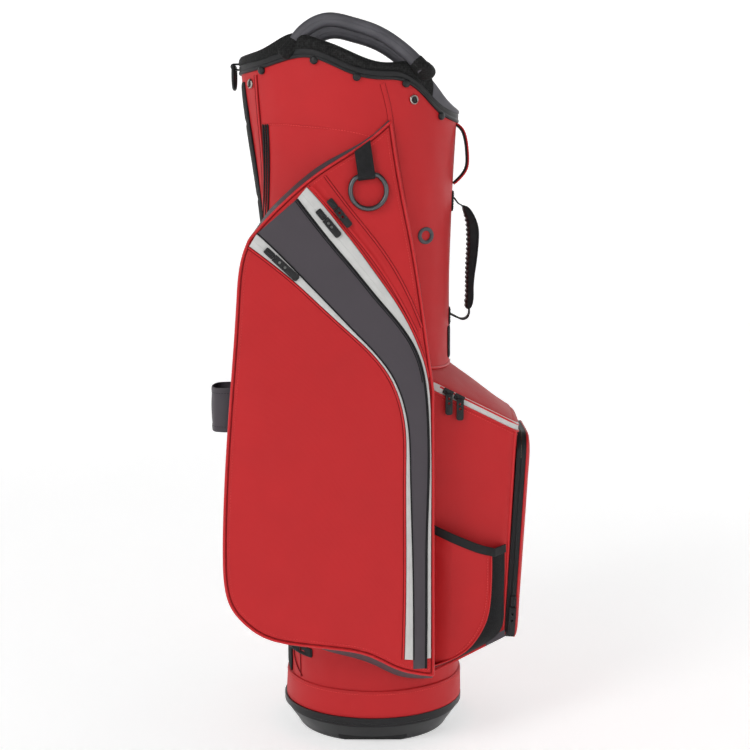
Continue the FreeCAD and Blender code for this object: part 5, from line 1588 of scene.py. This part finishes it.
def make_grab_handle():
    """Padded grip with a ribbed palm side, and the webbing that it hangs on."""
    outer = spline([(114.5, 683), (121, 681), (129, 672), (135.5, 655), (136, 636), (133.5, 610), (130, 575),
                    (127.5, 553), (125, 549)], 150)
    inner = spline([(114.5, 683), (116, 676), (119, 666), (121, 650), (121, 625), (120, 590), (119.5, 560),
                    (120.5, 551), (125, 549)], 150)
    half = 14.0
    rows = []
    for k, v in enumerate(np.linspace(-1, 1, 25)):
        squeeze = math.sqrt(1 - 0.75 * v ** 4)
        middle = (outer + inner) / 2
        rib = (0.9 * np.sin(np.arange(150) * 0.95) * smoothstep(8, 20, np.arange(150))
               * smoothstep(146, 132, np.arange(150)))
        out_line = middle + (outer - middle) * squeeze
        in_line = middle + (inner - middle) * squeeze
        in_line[:, 0] -= rib * squeeze
        rows.append((v * half, out_line, in_line))
    shell_out = np.array([np.column_stack([o[:, 0], np.full(150, y), o[:, 1]]) for y, o, _ in rows])
    shell_in = np.array([np.column_stack([i[:, 0], np.full(150, y), i[:, 1]]) for y, _, i in rows])
    ends = [grid(np.array([shell_out[k], shell_in[k]])) for k in (0, -1)]
    strip = sweep(np.column_stack([outer[6:-6, 0] - 0.4, np.zeros(138), outer[6:-6, 1]]),
                  rounded_box(9, 2.6, 1.1, 3), (1, 0, 0.05))
    parts = [(grid(shell_out), BLACK_CLOTH), (grid(shell_in), PULL), (ends[0], BLACK_CLOTH),
             (ends[1], BLACK_CLOTH),
             (strip, GREY_RUBBER)]
    for side in (-1, 1):
        cord = np.column_stack([outer[4:-4, 0] - 1.2, np.full(142, side * (half - 1.2)), outer[4:-4, 1]])
        parts.append((tube(cord, 1.2, (1, 0, 0), steps=8), BLACK_CLOTH))
    piece("grab_grip_pad", "grab_handle", parts, ["grab_grip"])
    anchors = []
    for z_low, z_high in ((676, 702), (530, 552)):
        def place(u, v, h):
            half_y = section(v)[2]
            return on_body(np.array(math.asin(u / half_y)), np.array(float(v)), h)

        outline = [(u, (z_low + z_high) / 2 + v) for u, v in rounded_box(30, z_high - z_low, 4, 4)]
        anchors.append((pad(densify(outline, 2.5), place,
                            [(0, -0.3), (0, 1.2), (0.6, 1.8), (2.5, 2.0), (6, 2.0), (10, 2.0)]), WEBBING))
        box = [place(u, (z_low + z_high) / 2 + v, 2.2)
               for u, v in densify(rounded_box(23, z_high - z_low - 7, 1, 2), 2.5)]
        anchors.append((stitches(np.array(box), (1, 0, 0)), BLACK_THREAD))
    piece("grab_anchor_patches", "bag", anchors, ["grab_anchors"])
    upper = spline([(103.5, 694), (106.5, 690.5), (110, 686), (114, 683.5), (119, 681)], 40)
    lower = spline([(101, 543), (105, 541), (110, 538.5), (116, 536.5), (122, 538.5), (125, 545),
                    (124.5, 552)], 50)
    straps = []
    for line in (upper, lower):
        points = np.column_stack([line[:, 0], np.zeros(len(line)), line[:, 1]])
        taper = 1 - 0.45 * np.exp(-((line[:, 0] - GRAB_PIVOT_X) / 3.0) ** 2)
        flat = sweep(points, rounded_box(20, 1.8, 0.7, 3), (0.3, 0, 1))
        flat[0][:, 1] *= np.repeat(taper, 16)[:len(flat[0])]
        straps.append((flat, WEBBING))
    webbing = piece("grab_webbing_straps", None, straps, ["grab_webbing"])
    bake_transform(webbing)


# ---- Plain CAD pieces that keep their shape ----------------------------------------------------------------


def dress_cad_nodes():
    soften("base_boot", 1.0, BOOT, 3)
    soften("floor_liner", 0.6, BLACK_PLASTIC)
    soften("top_divider", 0.9, BLACK_PLASTIC, 3)
    soften("stay_rods", 0.4, STAY)


# ---- Stage ---------------------------------------------------------------------------------------


def make_floor():
    """Pale floor that curves up into a backdrop all round."""
    profile = spline([(2.3, 0), (2.9, 0.1), (3.4, 0.6), (3.6, 1.4), (3.6, 2.4)], 40) * 1000
    rings = [(1.0, 0.0), (1100.0, 0.0), *[(r, max(h, 0.0)) for r, h in profile]]
    look = Look("floor", (0.88, 0.88, 0.88), 0.6, specular=0.2)
    look.vary(look.noise(900, 2), 0.985, 1.01)
    look.put("Emission Color", (1, 1, 1, 1))
    look.put("Emission Strength", 0.46)
    piece("floor", None, [(lathe(rings, (0, 0, 0), (0, 0, 1), 96), look.material)])


def area_light(name, place, aim, size, power):
    data = bpy.data.lights.new(name, "AREA")
    data.shape = "RECTANGLE"
    data.size, data.size_y = size
    data.energy = power
    light = bpy.data.objects.new(name, data)
    light.location = place
    light.rotation_euler = (Vector(aim) - Vector(place)).to_track_quat("-Z", "Y").to_euler()
    bpy.context.scene.collection.objects.link(light)


def make_lights():
    area_light("key", (-1.7, -2.2, 2.4), (0, 0, 0.55), (1.2, 1.4), 30)
    area_light("fill", (2.0, -1.9, 1.3), (0, 0, 0.45), (1.2, 1.6), 4)
    area_light("top", (0.2, -0.1, 2.9), (0, 0, 0.4), (2.0, 2.0), 6)
    area_light("rim", (1.6, 1.8, 1.6), (0, 0, 0.5), (1.2, 1.6), 5)
    world = bpy.data.worlds.new("studio")
    world.use_nodes = True
    world.node_tree.nodes["Background"].inputs["Color"].default_value = (1, 1, 1, 1)
    world.node_tree.nodes["Background"].inputs["Strength"].default_value = 0.06
    bpy.context.scene.world = world


def make_camera():
    data = bpy.data.cameras.new("camera")
    data.sensor_width = 36
    data.lens = 76.44
    data.clip_end = 60
    camera = bpy.data.objects.new("camera", data)
    camera.location = (0.003, -2.061, 0.746)
    camera.rotation_euler = (math.radians(82.17), 0, 0)
    bpy.context.scene.collection.objects.link(camera)
    bpy.context.scene.camera = camera


def main():
    bpy.context.scene.view_settings.view_transform = "Standard"
    make_camera()
    make_lights()
    make_floor()
    make_body()
    make_cuff()
    make_spine_panel()
    make_binding()
    make_collar()
    make_handles()
    make_front_grip()
    make_divider_fabric()
    make_rim_hardware()
    make_side_pockets()
    make_face_trim()
    make_sliders()
    make_towel_ring()
    make_strap_ring()
    make_patches()
    make_lower_tabs()
    make_upper_zips()
    make_umbrella_sleeve()
    make_front_pocket()
    make_lid_zip()
    make_lid()
    make_ball_pocket()
    make_bottle_pocket()
    make_lift_loop()
    make_grab_handle()
    dress_cad_nodes()


main()
